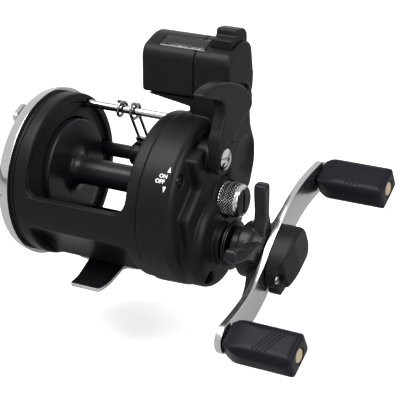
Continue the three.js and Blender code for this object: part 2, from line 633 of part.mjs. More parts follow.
const WORM_END_RADIUS = 1.5;

const RATCHET_RADIUS = MAIN_RADIUS * 0.635;
const RATCHET_TEETH = 12;
const RATCHET_DEPTH = 1.8;
const PAWL_PIN = 1.2;
const PAWL_HUB = 2.5;
const PAWL_LENGTH = 9;
const PAWL_LIFT = 2.4;
const PAWL_AT = [HANDLE_AT[0] - RATCHET_RADIUS - PAWL_LIFT, HANDLE_AT[1] + PAWL_LENGTH * 0.7];

// The lower cover screw is short: it ends in a lug that the bridge bends up outside the main gear
const LUG_THICK = 0.9;
const LUG_DEPTH = COVER_RADIUS * 0.1375;
const LUG_CLEARANCE = 1.2;
const LUG_OUT = MAIN_OUT + LUG_CLEARANCE + 1.4 * LUG_THICK;
const LUG_SWEEP = rad(9);

function bridgeLug() {
  const rim = COVER_BORE - SEAT;
  const angle = COVER_SCREW_ANGLES[1];
  const wedge = plate(outline([[0, 0], polar([0, 0], 2 * rim, angle - LUG_SWEEP),
    polar([0, 0], 2 * rim, angle + LUG_SWEEP)]), BRIDGE_IN, LUG_OUT);
  const wall = tube(BRIDGE_IN, LUG_OUT, rim, rim - LUG_THICK, [0, 0], FINE);
  const top = tube(LUG_OUT - 1.4 * LUG_THICK, LUG_OUT, rim, rim - LUG_DEPTH, [0, 0], FINE);
  return join(wall, top).intersect(wedge);
}

function gearBridge() {
  let body = rod(BRIDGE_IN, BRIDGE_OUT, COVER_BORE - SEAT, [0, 0], FINE);
  body = cut(body,
    rod(BRIDGE_IN - OVER, BRIDGE_OUT + OVER, PINION_HUB + PINION_CLEARANCE, SPOOL_AT, ROUND),
    hole(BRIDGE_IN - OVER, BRIDGE_OUT + OVER, WORM_END_RADIUS + RUN, WORM_AT, SMALL),
    hole(BRIDGE_IN - OVER, BRIDGE_OUT + OVER, DRIVE_RADIUS * 0.6 + RUN, HANDLE_AT, SMALL));
  body = join(body, bridgeLug());
  COVER_SCREW_ANGLES.forEach((angle, i) => {
    const wide = i === 1 ? SCREW_RADIUS : HEAD_RADIUS + BOSS_WALL;
    body = cut(body, hole(BRIDGE_OUT - OVER - BRIDGE_THICK, LUG_OUT + OVER, wide + SEAT,
      polar([0, 0], COVER_SCREW_RING, angle), SMALL));
  });
  for (const at of YOKE_POSTS) {
    body = join(body, rod(BRIDGE_IN, GROOVE_OUT + PINION_TRAVEL + SEAT, POST_RADIUS, at, SMALL));
  }
  return join(body, rod(BRIDGE_IN, RATCHET_OUT, PAWL_PIN, PAWL_AT, SMALL));
}

// Anti-reverse ratchet on the drive shaft, with its pawl lifted clear while winding in
function ratchet() {
  const points = [];
  for (let i = 0; i < RATCHET_TEETH; i += 1) {
    const angle = (i * TURN) / RATCHET_TEETH;
    points.push(polar(HANDLE_AT, RATCHET_RADIUS, angle));
    points.push(polar(HANDLE_AT, RATCHET_RADIUS - RATCHET_DEPTH, angle + SEAT / RATCHET_RADIUS));
  }
  return cut(plate(outline(points), RATCHET_IN, RATCHET_OUT),
    hole(RATCHET_IN - OVER, RATCHET_OUT + OVER, DRIVE_RADIUS + SEAT, HANDLE_AT, SMALL));
}

function ratchetPawl() {
  const [y, z] = PAWL_AT;
  const hub = PAWL_HUB;
  const arm = outline([[y - hub, z], [y + hub * 0.7, z - hub * 0.3],
    [y + hub * 0.3, z - PAWL_LENGTH * 0.7], [y + hub * 0.6, z - PAWL_LENGTH],
    [y - hub * 0.6, z - PAWL_LENGTH * 0.86]]);
  const body = join(plate(arm, RATCHET_IN, RATCHET_OUT),
    rod(RATCHET_IN, RATCHET_OUT, hub, PAWL_AT, SMALL));
  return cut(body, hole(RATCHET_IN - OVER, RATCHET_OUT + OVER, PAWL_PIN + RUN, PAWL_AT, SMALL));
}

add('gear_bridge_plate', 'steel', gearBridge());
add('ratchet_wheel', 'steel', ratchet());
add('ratchet_pawl', 'steel', ratchetPawl());

// Main gear and its drag washers
const DRAG_RADIUS = MAIN_RADIUS * 0.78;
const DRAG_THICK = 1.1;
const MAIN_GEAR = { teeth: MAIN_TEETH, phase: 0 };
const PINION_GEAR = { teeth: PINION_TEETH };
PINION_GEAR.phase = meshPhase(MAIN_GEAR, HANDLE_AT, PINION_GEAR, SPOOL_AT);

function mainGear() {
  const teeth = plate(gearOutline(MAIN_TEETH, MAIN_RADIUS, MAIN_GEAR.phase, HANDLE_AT),
    MAIN_IN, MAIN_OUT);
  return cut(teeth, hole(MAIN_IN - OVER, MAIN_OUT + OVER, DRIVE_RADIUS + RUN, HANDLE_AT, SMALL),
    hole(MAIN_OUT - DRAG_THICK - SEAT, MAIN_OUT + OVER, DRAG_RADIUS + SEAT, HANDLE_AT, ROUND));
}

add('main_gear', 'brass', mainGear());
add('drag_washer', 'carbon', tube(MAIN_OUT - DRAG_THICK, MAIN_OUT, DRAG_RADIUS, DRIVE_RADIUS + SEAT,
  HANDLE_AT, ROUND));
add('drag_pressure_plate', 'steel', tube(MAIN_OUT + SEAT, MAIN_OUT + SEAT + DRAG_THICK, DRAG_RADIUS,
  DRIVE_RADIUS + SEAT, HANDLE_AT, ROUND));

// Pinion: slides on the spool shaft, held by the clutch yoke in its groove
function pinion() {
  const teeth = plate(gearOutline(PINION_TEETH, PINION_RADIUS, PINION_GEAR.phase, SPOOL_AT),
    MAIN_IN, GROOVE_IN);
  const hub = turned([[MAIN_OUT + SEAT, 0], [MAIN_OUT + SEAT, PINION_HUB], [GROOVE_IN, PINION_HUB],
    [GROOVE_IN, PINION_RADIUS], [GROOVE_OUT, PINION_RADIUS], [GROOVE_OUT, PINION_HUB],
    [PINION_END, PINION_HUB], [PINION_END, 0]], SPOOL_AT, ROUND);
  return cut(join(teeth, hub),
    hole(MAIN_IN - OVER, PINION_END + OVER, PINION_SHAFT + RUN, SPOOL_AT, SMALL));
}

add('pinion', 'brass', pinion());

// Spool shaft: from the left bearing to the cast control, stepped down under the pinion
const CAST_BOSS_REACH = 8.8;
const CAST_BOSS_END = COVER_FACE + CAST_BOSS_REACH;
const TIP_CLEARANCE = 1;
const SHAFT_TIP = CAST_BOSS_END - TIP_CLEARANCE;
const NECK_LEAD = 1;

function spoolShaft() {
  const shaft = turned([[LEFT_BEARING_OUT, 0], [LEFT_BEARING_OUT, SHAFT_RADIUS],
    [MAIN_IN - NECK_LEAD, SHAFT_RADIUS], [MAIN_IN - NECK_LEAD, PINION_SHAFT],
    [PINION_END + PINION_TRAVEL + SEAT, PINION_SHAFT],
    [PINION_END + PINION_TRAVEL + SEAT, SHAFT_RADIUS], [SHAFT_TIP, SHAFT_RADIUS], [SHAFT_TIP, 0]],
  SPOOL_AT, SMALL);
  return join(shaft, plate(gearOutline(SPOOL_GEAR.teeth, windRadius('spool'), SPOOL_GEAR.phase, SPOOL_AT),
    FAR_PLANE - GEAR_WIDTH, FAR_PLANE));
}

add('spool_shaft', 'steel', spoolShaft());

// Clutch yoke: a forked plate that rides on the two bridge posts
const LEVER_AT = [-COVER_RADIUS * 0.2375, COVER_RADIUS * 0.64];
const LEVER_SHAFT = 1.8;
const YOKE_IN = GROOVE_IN + SEAT;
const YOKE_OUT = GROOVE_OUT - SEAT;
const YOKE_TAB = 2.6;
const YOKE_RIM = 1.4;
const YOKE_ARCH = 1.9;
const CAM_RADIUS = 6;

function clutchYoke() {
  const [a, b] = YOKE_POSTS;
  const rim = POST_RADIUS + YOKE_RIM;
  const bar = rounded([[a[0] - rim, a[1] + rim, rim], [b[0] + rim, b[1] + rim, rim],
    [b[0] + rim, b[1] - rim, rim], [a[0] - rim, a[1] - rim, rim]]);
  const tab = rounded([[a[0] - rim, a[1]], [a[0] + rim, a[1]],
    [LEVER_AT[0] + YOKE_TAB / 2, LEVER_AT[1] - CAM_RADIUS + YOKE_TAB],
    [LEVER_AT[0] - YOKE_TAB / 2, LEVER_AT[1] - CAM_RADIUS + YOKE_TAB]]);
  const arch = rod(YOKE_IN, YOKE_OUT, PINION_HUB + YOKE_ARCH, SPOOL_AT);
  let body = join(plate(bar, YOKE_IN, YOKE_OUT), plate(tab, YOKE_IN, YOKE_OUT), arch);
  body = cut(body, hole(YOKE_IN - OVER, YOKE_OUT + OVER, PINION_RADIUS + RUN, SPOOL_AT, SMALL),
    box(YOKE_IN - OVER, YOKE_OUT + OVER, SPOOL_AT[0] - PINION_RADIUS - RUN,
      SPOOL_AT[0] + PINION_RADIUS + RUN, SPOOL_AT[1] - 4 * PINION_HUB, SPOOL_AT[1]));
  for (const at of YOKE_POSTS) {
    body = cut(body, hole(YOKE_IN - OVER, YOKE_OUT + OVER, POST_RADIUS + RUN, at, SMALL));
  }
  return body;
}

add('clutch_yoke', 'nylon', clutchYoke());

// Right side cover: drum, gearcase, platform, spine, neck and the counter's right half
const GEARCASE_INSET = 0.8;
const GEARCASE_RADIUS = COVER_RADIUS - Math.hypot(HANDLE_BACK, HANDLE_DROP) - GEARCASE_INSET;
const GEARCASE_RISE = 7.3;
const GEARCASE_EDGE = 4;
const GEARCASE_FACE = COVER_FACE + GEARCASE_RISE;
const PLATFORM_RISE = 4.3;
const PLATFORM_EDGE = COVER_RADIUS * 0.028;
const PLATFORM_FACE = COVER_FACE + PLATFORM_RISE;
const COVER_EDGE = 3.4;
const COVER_TAPER = 0.3;
const COVER_SCREW_SINK = 2.4;
const BOSS_RADIUS = 8;
const BOSS_RISE = 2.7;
const BOSS_EDGE = 1;
const BOSS_FACE = GEARCASE_FACE + BOSS_RISE;
const BUSH_RADIUS = 5;
const CAST_RADIUS = AXLE_SPAN * 0.395;
const CAST_BOSS_RADIUS = CAST_RADIUS * 0.72;
const CAST_COLLAR_WIDTH = 0.9;
const CAST_COLLAR = CAST_RADIUS + CAST_COLLAR_WIDTH;
const CAST_COLLAR_RISE = 1;
const CAST_COLLAR_FACE = PLATFORM_FACE + CAST_COLLAR_RISE;
const SPINE_EDGE = 1.3;
const RIDGE_WIDTH = 3;
const RIDGE_PROUD = 1.6;
const LEVER_LENGTH = COVER_RADIUS * 0.922;
const LEVER_BOSS = 5.6;
const LEVER_BOSS_RISE = 2.4;
const LEVER_BOSS_FACE = PLATFORM_FACE + LEVER_BOSS_RISE;
const COUNTER_WALL = 1.7;
const COUNTER_SHAFT = 1.1;
const COUNTER_AT = [COUNTER_BACK + COUNTER_LENGTH * 0.52, COUNTER_BASE + COUNTER_HEIGHT * 0.44];
const TRAIN_SETBACK = 3.6;
const TRAIN_IN = COUNTER_SEAM + TRAIN_SETBACK;
const TRAIN_OUT = TRAIN_IN + GEAR_WIDTH;
const TRAIN_CLEARANCE = 0.8;
const TRAIN_SPACE = TRAIN_OUT + TRAIN_CLEARANCE;

// The counter's gear train climbs from the worm shaft through the neck
const TRAIN_TEETH = [11, 24, 20, 13, 15];
const TRAIN_SPAN = Math.hypot(COUNTER_AT[0] - WORM_AT[0], COUNTER_AT[1] - WORM_AT[1]);
const TRAIN_MODULE = TRAIN_SPAN * 0.0152;
const TRAIN_RADII = TRAIN_TEETH.map((teeth) => (teeth * TRAIN_MODULE) / 2);
const TRAIN_LEAN = rad(133);
const TRAIN_DROP = rad(-86);
const PIN_RADIUS = 1;
const PIN_PROUD = 0.5;

function trainPlaces() {
  const [worm, lower, middle, upper, top] = TRAIN_RADII;
  const first = polar(WORM_AT, worm + lower, TRAIN_LEAN);
  const third = polar(COUNTER_AT, upper + top, TRAIN_DROP);
  const second = meet(third, middle + upper, first, lower + middle);
  return [WORM_AT, first, second, third, COUNTER_AT];
}

const TRAIN_AT = trainPlaces();
const TRAIN = TRAIN_TEETH.map((teeth) => ({ teeth, phase: 0 }));
for (let i = 1; i < TRAIN.length; i += 1) {
  TRAIN[i].phase = meshPhase(TRAIN[i - 1], TRAIN_AT[i - 1], TRAIN[i], TRAIN_AT[i]);
}

const COUNTER_EDGE = COUNTER_LENGTH * 0.058;

// The counter's section, in shares of its length and height
function counterSection(inset) {
  const shares = [[0, 0, 0.08], [0, 0.72, 0.1], [0.09, 0.86, 0.12], [0.48, 1, 0.14],
    [0.74, 0.99, 0.14], [0.9, 0.88, 0.1], [1, 0.28, 0.1], [0.96, 0, 0.1]];
  const middle = [0.5, 0.45];
  const grown = [1 - (2 * inset) / COUNTER_LENGTH, 1 - (2 * inset) / COUNTER_HEIGHT];
  return rounded(shares.map(([y, z, r]) => [
    COUNTER_BACK + COUNTER_LENGTH * (middle[0] + (y - middle[0]) * grown[0]),
    COUNTER_BASE + COUNTER_HEIGHT * (middle[1] + (z - middle[1]) * grown[1]),
    r * COUNTER_HEIGHT]));
}

// A quarter round from the rim onto the face of a turned piece
function roundedEdge(face, rim, radius) {
  const steps = 3;
  const points = [];
  for (let i = 0; i <= steps; i += 1) {
    const angle = (Math.PI / 2) * (i / steps);
    points.push([face - radius + radius * Math.sin(angle), rim - radius + radius * Math.cos(angle)]);
  }
  return points;
}

function coverDrum() {
  const rim = COVER_RADIUS - COVER_TAPER;
  const profile = [[COVER_START, 0], [COVER_START, COVER_RADIUS],
    ...roundedEdge(COVER_FACE, rim, COVER_EDGE), [COVER_FACE, 0]];
  return turned(profile, [0, 0], FINE);
}

function gearcase() {
  return turned([[COVER_INSIDE, 0], [COVER_INSIDE, GEARCASE_RADIUS],
    ...roundedEdge(GEARCASE_FACE, GEARCASE_RADIUS, GEARCASE_EDGE), [GEARCASE_FACE, 0]], HANDLE_AT, FINE);
}

// The raised platform behind the lever, in shares of the cover's radius
function platform() {
  const shares = [[-0.6, -0.62, 0.1], [-0.8, 0.04, 0.05], [-0.48, 0.34, 0.05], [-0.6, 0.68, 0.04],
    [-0.4, 0.76, 0.1], [0.1, 0.84, 0.1], [0.62, 0.6, 0.1], [0.68, 0.2, 0.1], [0.56, -0.4, 0.2]];
  const shape = rounded(shares.map((corner) => corner.map((share) => share * COVER_RADIUS)));
  return plate(shape, COVER_INSIDE, PLATFORM_FACE, PLATFORM_EDGE, 3);
}

// The spine that leads from the platform up to the counter
function spine() {
  const top = COUNTER_BASE + COUNTER_HEIGHT * 0.4;
  const front = COUNTER_BACK + COUNTER_LENGTH;
  const shares = [[0.1, 0.02, 0.06], [0.06, 0.46, 0.1], [0.3, 0.66, 0.1], [0.2, 0.8, 0.1], [0.1, 1, 0],
    [0.97, 1, 0], [0.9, 0.72, 0.2], [0.97, 0.3, 0.2], [0.88, 0, 0.08]];
  const shape = rounded(shares.map(([y, z, r]) => [y * front, z * top, r * top]));
  return plate(shape, COVER_INSIDE, COUNTER_RIGHT, SPINE_EDGE, 4);
}

// The guard: a low ridge on the spine that follows the front edge of the clutch lever
function guardRidge() {
  const [y, z] = LEVER_AT;
  const reach = LEVER_LENGTH;
  const shares = [[0.24, 0.06], [0.3, 0.24], [0.5, 0.4], [0.72, 0.56], [0.66, 0.78]];
  const line = new THREE.SplineCurve(shares.map(([a, b]) =>
    new THREE.Vector2(y + a * reach, z + b * reach)));
  const side = line.getPoints(8).map((p) => [p.x, p.y]);
  const far = side.map(([a, b]) => [a + RIDGE_WIDTH, b - RIDGE_WIDTH / 3]).reverse();
  return plate(outline([...side, ...far]), COVER_INSIDE, COUNTER_RIGHT + RIDGE_PROUD, RIDGE_WIDTH * 0.3);
}

function neck() {
  const foot = Math.sqrt(COVER_RADIUS ** 2 - COUNTER_LENGTH ** 2) * 0.86;
  const shape = rounded([[COUNTER_BACK, foot], [COUNTER_BACK, COUNTER_BASE + SINK],
    [COUNTER_BACK + COUNTER_LENGTH * 0.96, COUNTER_BASE + SINK],
    [COUNTER_BACK + COUNTER_LENGTH * 0.84, COVER_RADIUS, COUNTER_WALL],
    [COUNTER_BACK + COUNTER_LENGTH * 0.9, foot]]);
  return plate(shape, COUNTER_SEAM + SEAT, COUNTER_RIGHT - SPINE_EDGE, 0, 4);
}

const WINDOW_INSET = 6.4;
const WINDOW_PAST_SEAM = 3.2;
const WINDOW_LEFT = COUNTER_LEFT + WINDOW_INSET;
const WINDOW_RIGHT = COUNTER_SEAM + WINDOW_PAST_SEAM;
const WINDOW_THICK = 1.2;
const WINDOW_DEPTH = COUNTER_LENGTH * 0.304;
const WINDOW_MARGIN = 0.8;

// The window lies on the slanting back of the counter, between these two points of its section
const slantLow = [COUNTER_BACK + COUNTER_LENGTH * 0.09, COUNTER_BASE + COUNTER_HEIGHT * 0.86];
const slantHigh = [COUNTER_BACK + COUNTER_LENGTH * 0.48, COUNTER_BASE + COUNTER_HEIGHT];
const slantAngle = Math.atan2(slantHigh[1] - slantLow[1], slantHigh[0] - slantLow[0]);

function slantBox(x0, x1, along0, along1, down, up) {
  const middle = [(slantLow[0] + slantHigh[0]) / 2, (slantLow[1] + slantHigh[1]) / 2];
  const [c, s] = [Math.cos(slantAngle), Math.sin(slantAngle)];
  const corner = (a, h) => [middle[0] + a * c - h * s, middle[1] + a * s + h * c];
  return plate(outline([corner(along0, -down), corner(along1, -down), corner(along1, up),
    corner(along0, up)]), x0, x1);
}

const windowSeat = () => slantBox(WINDOW_LEFT - SEAT, WINDOW_RIGHT + SEAT,
  -WINDOW_DEPTH / 2 - SEAT, WINDOW_DEPTH / 2 + SEAT, WINDOW_THICK, OVER);
const windowOpening = () => slantBox(WINDOW_LEFT + WINDOW_MARGIN, WINDOW_RIGHT - WINDOW_MARGIN,
  -WINDOW_DEPTH / 2 + WINDOW_MARGIN, WINDOW_DEPTH / 2 - WINDOW_MARGIN, WINDOW_THICK * 4, OVER);

// Reset button: a stepped block that presses down into the top of the counter
const RESET_GAP = 1.4;
const RESET_WALL = 1.6;
const RESET_PROUD = 5.1;
const RESET_EDGE = 0.5;
const RESET_LEFT = WINDOW_RIGHT + RESET_GAP;
const RESET_RIGHT = COUNTER_RIGHT - RESET_WALL;
const RESET_BACK = COUNTER_BACK + COUNTER_LENGTH * 0.26;
const RESET_FRONT = COUNTER_BACK + COUNTER_LENGTH * 0.86;
const RESET_TRAVEL = 1.6;
const RESET_FLOOR = COUNTER_BASE + COUNTER_HEIGHT * 0.74;
const RESET_TOP = COUNTER_BASE + COUNTER_HEIGHT + RESET_PROUD;

const resetPocket = () => box(RESET_LEFT - SEAT, RESET_RIGHT + SEAT, RESET_BACK - SEAT,
  RESET_FRONT + SEAT, RESET_FLOOR, RESET_TOP);

function resetButton() {
  const low = RESET_FLOOR + RESET_TRAVEL + SEAT;
  const step = (RESET_TOP - low) * 0.62 + low;
  const shelf = RESET_BACK + (RESET_FRONT - RESET_BACK) * 0.3;
  const edge = RESET_EDGE;
  const shape = rounded([[RESET_BACK, low], [RESET_BACK, step - edge, edge],
    [shelf, step, edge], [shelf + edge, RESET_TOP - edge, edge * 2],
    [RESET_FRONT - edge * 4, RESET_TOP - edge * 2, edge * 4], [RESET_FRONT, step, edge * 2],
    [RESET_FRONT, low]]);
  return plate(shape, RESET_LEFT, RESET_RIGHT, edge, 2);
}

function rightCover() {
  let body = join(coverDrum(), gearcase(), platform(), spine(), guardRidge(), neck(),
    plate(counterSection(0), COUNTER_SEAM + SEAT, COUNTER_RIGHT, COUNTER_EDGE, 3));
  body = join(body,
    turned([[COVER_INSIDE, 0], [COVER_INSIDE, BOSS_RADIUS], [BOSS_FACE - BOSS_EDGE, BOSS_RADIUS],
      [BOSS_FACE, BOSS_RADIUS - BOSS_EDGE], [BOSS_FACE, 0]], HANDLE_AT, ROUND),
    rod(COVER_INSIDE, LEVER_BOSS_FACE, LEVER_BOSS, LEVER_AT, ROUND),
    rod(COVER_INSIDE, CAST_COLLAR_FACE, CAST_COLLAR, SPOOL_AT, ROUND),
    rod(COVER_INSIDE, CAST_BOSS_END, CAST_BOSS_RADIUS, SPOOL_AT, ROUND));
  let cavity = rod(COVER_START - OVER, COVER_INSIDE, COVER_BORE, [0, 0], FINE);
  COVER_SCREW_ANGLES.forEach((angle, i) => {
    const at = polar([0, 0], COVER_SCREW_RING, angle);
    cavity = cut(cavity, rod(i === 1 ? LUG_OUT + SEAT : COVER_START, COVER_INSIDE + OVER,
      HEAD_RADIUS + BOSS_WALL, at, SMALL));
  });
  const slotShares = [[0.06, COVER_RADIUS * 0.6], [0.84, COVER_RADIUS * 0.6], [0.84, COVER_RADIUS * 0.88],
    [0.775, COVER_RADIUS], [0.83, COVER_RADIUS * 1.1], [0.83, COUNTER_BASE + COUNTER_WALL + OVER],
    [0.06, COUNTER_BASE + COUNTER_WALL + OVER]];
  const slot = plate(outline(slotShares.map(([y, z]) => [COUNTER_BACK + y * COUNTER_LENGTH, z])),
    COUNTER_SEAM - OVER, TRAIN_SPACE);
  body = cut(body, cavity, slot,
    plate(counterSection(COUNTER_WALL), COUNTER_SEAM - OVER, TRAIN_SPACE, 0, 3),
    windowSeat(), windowOpening(), resetPocket(),
    tube(CAST_COLLAR_FACE, COUNTER_RIGHT + RIDGE_PROUD + OVER, CAST_RADIUS + 2 * RUN, CAST_BOSS_RADIUS,
      SPOOL_AT, ROUND),
    hole(COVER_INSIDE - OVER, RIGHT_BEARING_OUT + SEAT, BEARING_RADIUS + SEAT, SPOOL_AT, ROUND),
    hole(COVER_INSIDE, CAST_BOSS_END + OVER, SHAFT_RADIUS + RUN, SPOOL_AT, SMALL),
    hole(COVER_INSIDE - OVER, BOSS_FACE + OVER, BUSH_RADIUS + SEAT, HANDLE_AT, ROUND),
    hole(COVER_INSIDE - OVER, LEVER_BOSS_FACE + OVER, LEVER_SHAFT + RUN, LEVER_AT, SMALL),
    hole(TRAIN_SPACE - OVER, COUNTER_RIGHT - 2 * COUNTER_WALL, COUNTER_SHAFT + RUN, COUNTER_AT, SMALL));
  for (const at of TRAIN_AT.slice(1, 4)) {
    body = join(body, rod(TRAIN_IN - PIN_PROUD, COVER_INSIDE + SINK, PIN_RADIUS, at, SMALL));
  }
  for (const angle of COVER_SCREW_ANGLES) {
    const at = polar([0, 0], COVER_SCREW_RING, angle);
    body = cut(body, hole(COVER_START - OVER, COVER_FACE + OVER, SCREW_RADIUS + SEAT, at, SMALL),
      hole(COVER_FACE - COVER_SCREW_SINK, GEARCASE_FACE, HEAD_RADIUS + SEAT, at, SMALL));
  }
  return body;
}

add('right_side_cover', 'graphite', rightCover());

function coverScrew(angle, end) {
  const at = polar([0, 0], COVER_SCREW_RING, angle);
  const seat = COVER_FACE - COVER_SCREW_SINK + SEAT;
  const top = seat + HEAD_HEIGHT + SLOT_DEPTH;
  const head = turned([[seat, 0], [seat, HEAD_RADIUS], [seat + HEAD_HEIGHT, HEAD_RADIUS],
    [top, HEAD_RADIUS * 0.7], [top, 0]], at, SMALL);
  return join(head, rod(end, seat + HEAD_HEIGHT / 2, SCREW_RADIUS, at, SMALL));
}

COVER_SCREW_ANGLES.forEach((angle, i) => add(`cover_screw_${i + 1}`, 'steel',
  coverScrew(angle, i === 1 ? MAIN_OUT + LUG_CLEARANCE : RIGHT_IN + BLIND_WALL + SEAT)));

add('drive_bushing', 'brass', tube(COVER_INSIDE, BOSS_FACE, BUSH_RADIUS, DRIVE_RADIUS + RUN,
  HANDLE_AT, ROUND));

// Cast control knob: knurled, with a coin slot, screwed over the boss on the spool's axis
const CAST_LENGTH = 7.8;
const CAST_FLUTES = 20;
const CAST_EDGE = 1;
const COIN_SLOT_DEPTH = 1.5;
const COIN_SLOT_HALF = 0.6;

function castControlKnob() {
  const start = CAST_COLLAR_FACE + SEAT;
  const end = start + CAST_LENGTH;
  const points = [];
  for (let i = 0; i < CAST_FLUTES * 2; i += 1) {
    const radius = i % 2 ? CAST_RADIUS - SEAT : CAST_RADIUS;
    points.push(polar(SPOOL_AT, radius, (i * TURN) / (CAST_FLUTES * 2)));
  }
  const knurl = plate(outline(points), start + CAST_EDGE / 2, end - CAST_EDGE * 1.6);
  const core = turned([[start, 0], [start, CAST_RADIUS - SEAT], [end - CAST_EDGE, CAST_RADIUS - SEAT],
    [end, CAST_RADIUS - CAST_EDGE], [end, 0]], SPOOL_AT, ROUND);
  return cut(join(knurl, core),
    hole(start - OVER, CAST_BOSS_END + SEAT, CAST_BOSS_RADIUS + RUN, SPOOL_AT, ROUND),
    box(end - COIN_SLOT_DEPTH, end + OVER, SPOOL_AT[0] - COIN_SLOT_HALF, SPOOL_AT[0] + COIN_SLOT_HALF,
      SPOOL_AT[1] - CAST_RADIUS * 0.72, SPOOL_AT[1] + CAST_RADIUS * 0.72));
}

add('cast_control_knob', 'chrome', castControlKnob());

// Clutch lever: hooks back from its hub to a broad thumb paddle
const LEVER_IN = LEVER_BOSS_FACE + RUN;
const LEVER_THICK = 4.6;
const LEVER_SCREW = 3.9;
const LEVER_OUT = LEVER_IN + LEVER_THICK;
const LEVER_EDGE = LEVER_LENGTH * 0.03;
const LEVER_HUB_DROP = 2;
const LEVER_HUB_CLEAR = 6.8;
const LEVER_HUB_FACE = LEVER_OUT - LEVER_HUB_DROP;
const LEVER_SCREW_SINK = 0.8;
const LEVER_SCREW_DOME = 1.6;

function clutchLever() {
  const [y, z] = LEVER_AT;
  const shares = [[-0.66, 0.96], [-0.56, 1.025], [-0.34, 1.04], [-0.05, 0.99], [0.26, 0.88],
    [0.48, 0.75], [0.585, 0.6], [0.53, 0.48], [0.3, 0.38], [0.15, 0.24], [0.19, 0.06],
    [0.14, -0.12], [-0.03, -0.19], [-0.2, -0.11], [-0.28, 0.1], [-0.3, 0.3], [-0.22, 0.46],
    [-0.14, 0.64], [-0.2, 0.78], [-0.42, 0.87]];
  const line = new THREE.SplineCurve([...shares, shares[0]].map(([a, b]) =>
    new THREE.Vector2(y + a * LEVER_LENGTH, z + b * LEVER_LENGTH)));
  const shape = outline(line.getPoints(36).slice(0, -1).map((p) => [p.x, p.y]));
  const body = plate(shape, LEVER_IN, LEVER_OUT, LEVER_EDGE);
  return cut(body, rod(LEVER_HUB_FACE, LEVER_OUT + OVER, LEVER_HUB_CLEAR, LEVER_AT, FINE),
    hole(LEVER_HUB_FACE - LEVER_SCREW_SINK, LEVER_OUT + OVER, LEVER_SCREW + SEAT, LEVER_AT, ROUND),
    hole(LEVER_IN - OVER, LEVER_OUT + OVER, LEVER_SHAFT * 0.7 + SEAT, LEVER_AT, SMALL));
}

add('clutch_lever', 'graphite', clutchLever());

// The clutch cam turns with the lever on a shaft through the cover
const CAM_OUT = YOKE_IN - RUN;
const CAM_THICK = 1.2;
const LEVER_SWING = rad(45);
const CAM_STEPS = 5;
const CAM_START = rad(254);

function clutchCam() {
  const face = CAM_OUT - CAM_THICK;
  let body = join(rod(face - CAM_THICK, face, CAM_RADIUS, LEVER_AT, ROUND),
    rod(face - CAM_THICK, LEVER_IN - RUN, LEVER_SHAFT, LEVER_AT, SMALL));
  const from = CAM_START - LEVER_SWING;
  for (let i = 0; i < CAM_STEPS; i += 1) {
    const to = CAM_START - (LEVER_SWING * i) / CAM_STEPS;
    const step = outline([polar(LEVER_AT, CAM_RADIUS * 0.4, from), polar(LEVER_AT, CAM_RADIUS, from),
      polar(LEVER_AT, CAM_RADIUS, to), polar(LEVER_AT, CAM_RADIUS * 0.4, to)]);
    body = join(body, plate(step, face - CAM_THICK / 2, CAM_OUT + (PINION_TRAVEL * i) / (CAM_STEPS + 1)));
  }
  return body;
}

add('clutch_cam', 'steel', clutchCam());

const leverScrewIn = LEVER_IN - RUN + SEAT;
const leverScrewSeat = LEVER_HUB_FACE - LEVER_SCREW_SINK + SEAT;
add('clutch_lever_screw', 'chrome', turned([[leverScrewIn, 0], [leverScrewIn, LEVER_SHAFT * 0.7],
  [leverScrewSeat, LEVER_SHAFT * 0.7], [leverScrewSeat, LEVER_SCREW], [LEVER_HUB_FACE, LEVER_SCREW],
  [LEVER_HUB_FACE + LEVER_SCREW_DOME * 0.7, LEVER_SCREW * 0.7],
  [LEVER_HUB_FACE + LEVER_SCREW_DOME, LEVER_SCREW * 0.3],
  [LEVER_HUB_FACE + LEVER_SCREW_DOME, 0]], LEVER_AT, ROUND));

// Star drag: five arms on a threaded hub, over a conical spring washer
const STAR_ARMS = 5;
const STAR_ANGLE = rad(92);
const STAR_HUB = 10.4;
const STAR_NECK = 7.6;
const STAR_NECK_LENGTH = 3.6;
const STAR_GAP = 4;
const STAR_IN = BOSS_FACE + STAR_GAP;
const STAR_OUT = STAR_IN + STAR_LENGTH;
const STAR_HUB_IN = STAR_IN + STAR_NECK_LENGTH;
const STAR_ARM_WIDTH = 5;
const STAR_ARM_SETBACK = 0.4;
const STAR_ARM_THICK = 4.6;
const STAR_ARM_OUT = STAR_OUT - STAR_ARM_SETBACK;
const STAR_ARM_IN = STAR_ARM_OUT - STAR_ARM_THICK;
const STAR_EDGE = 1;

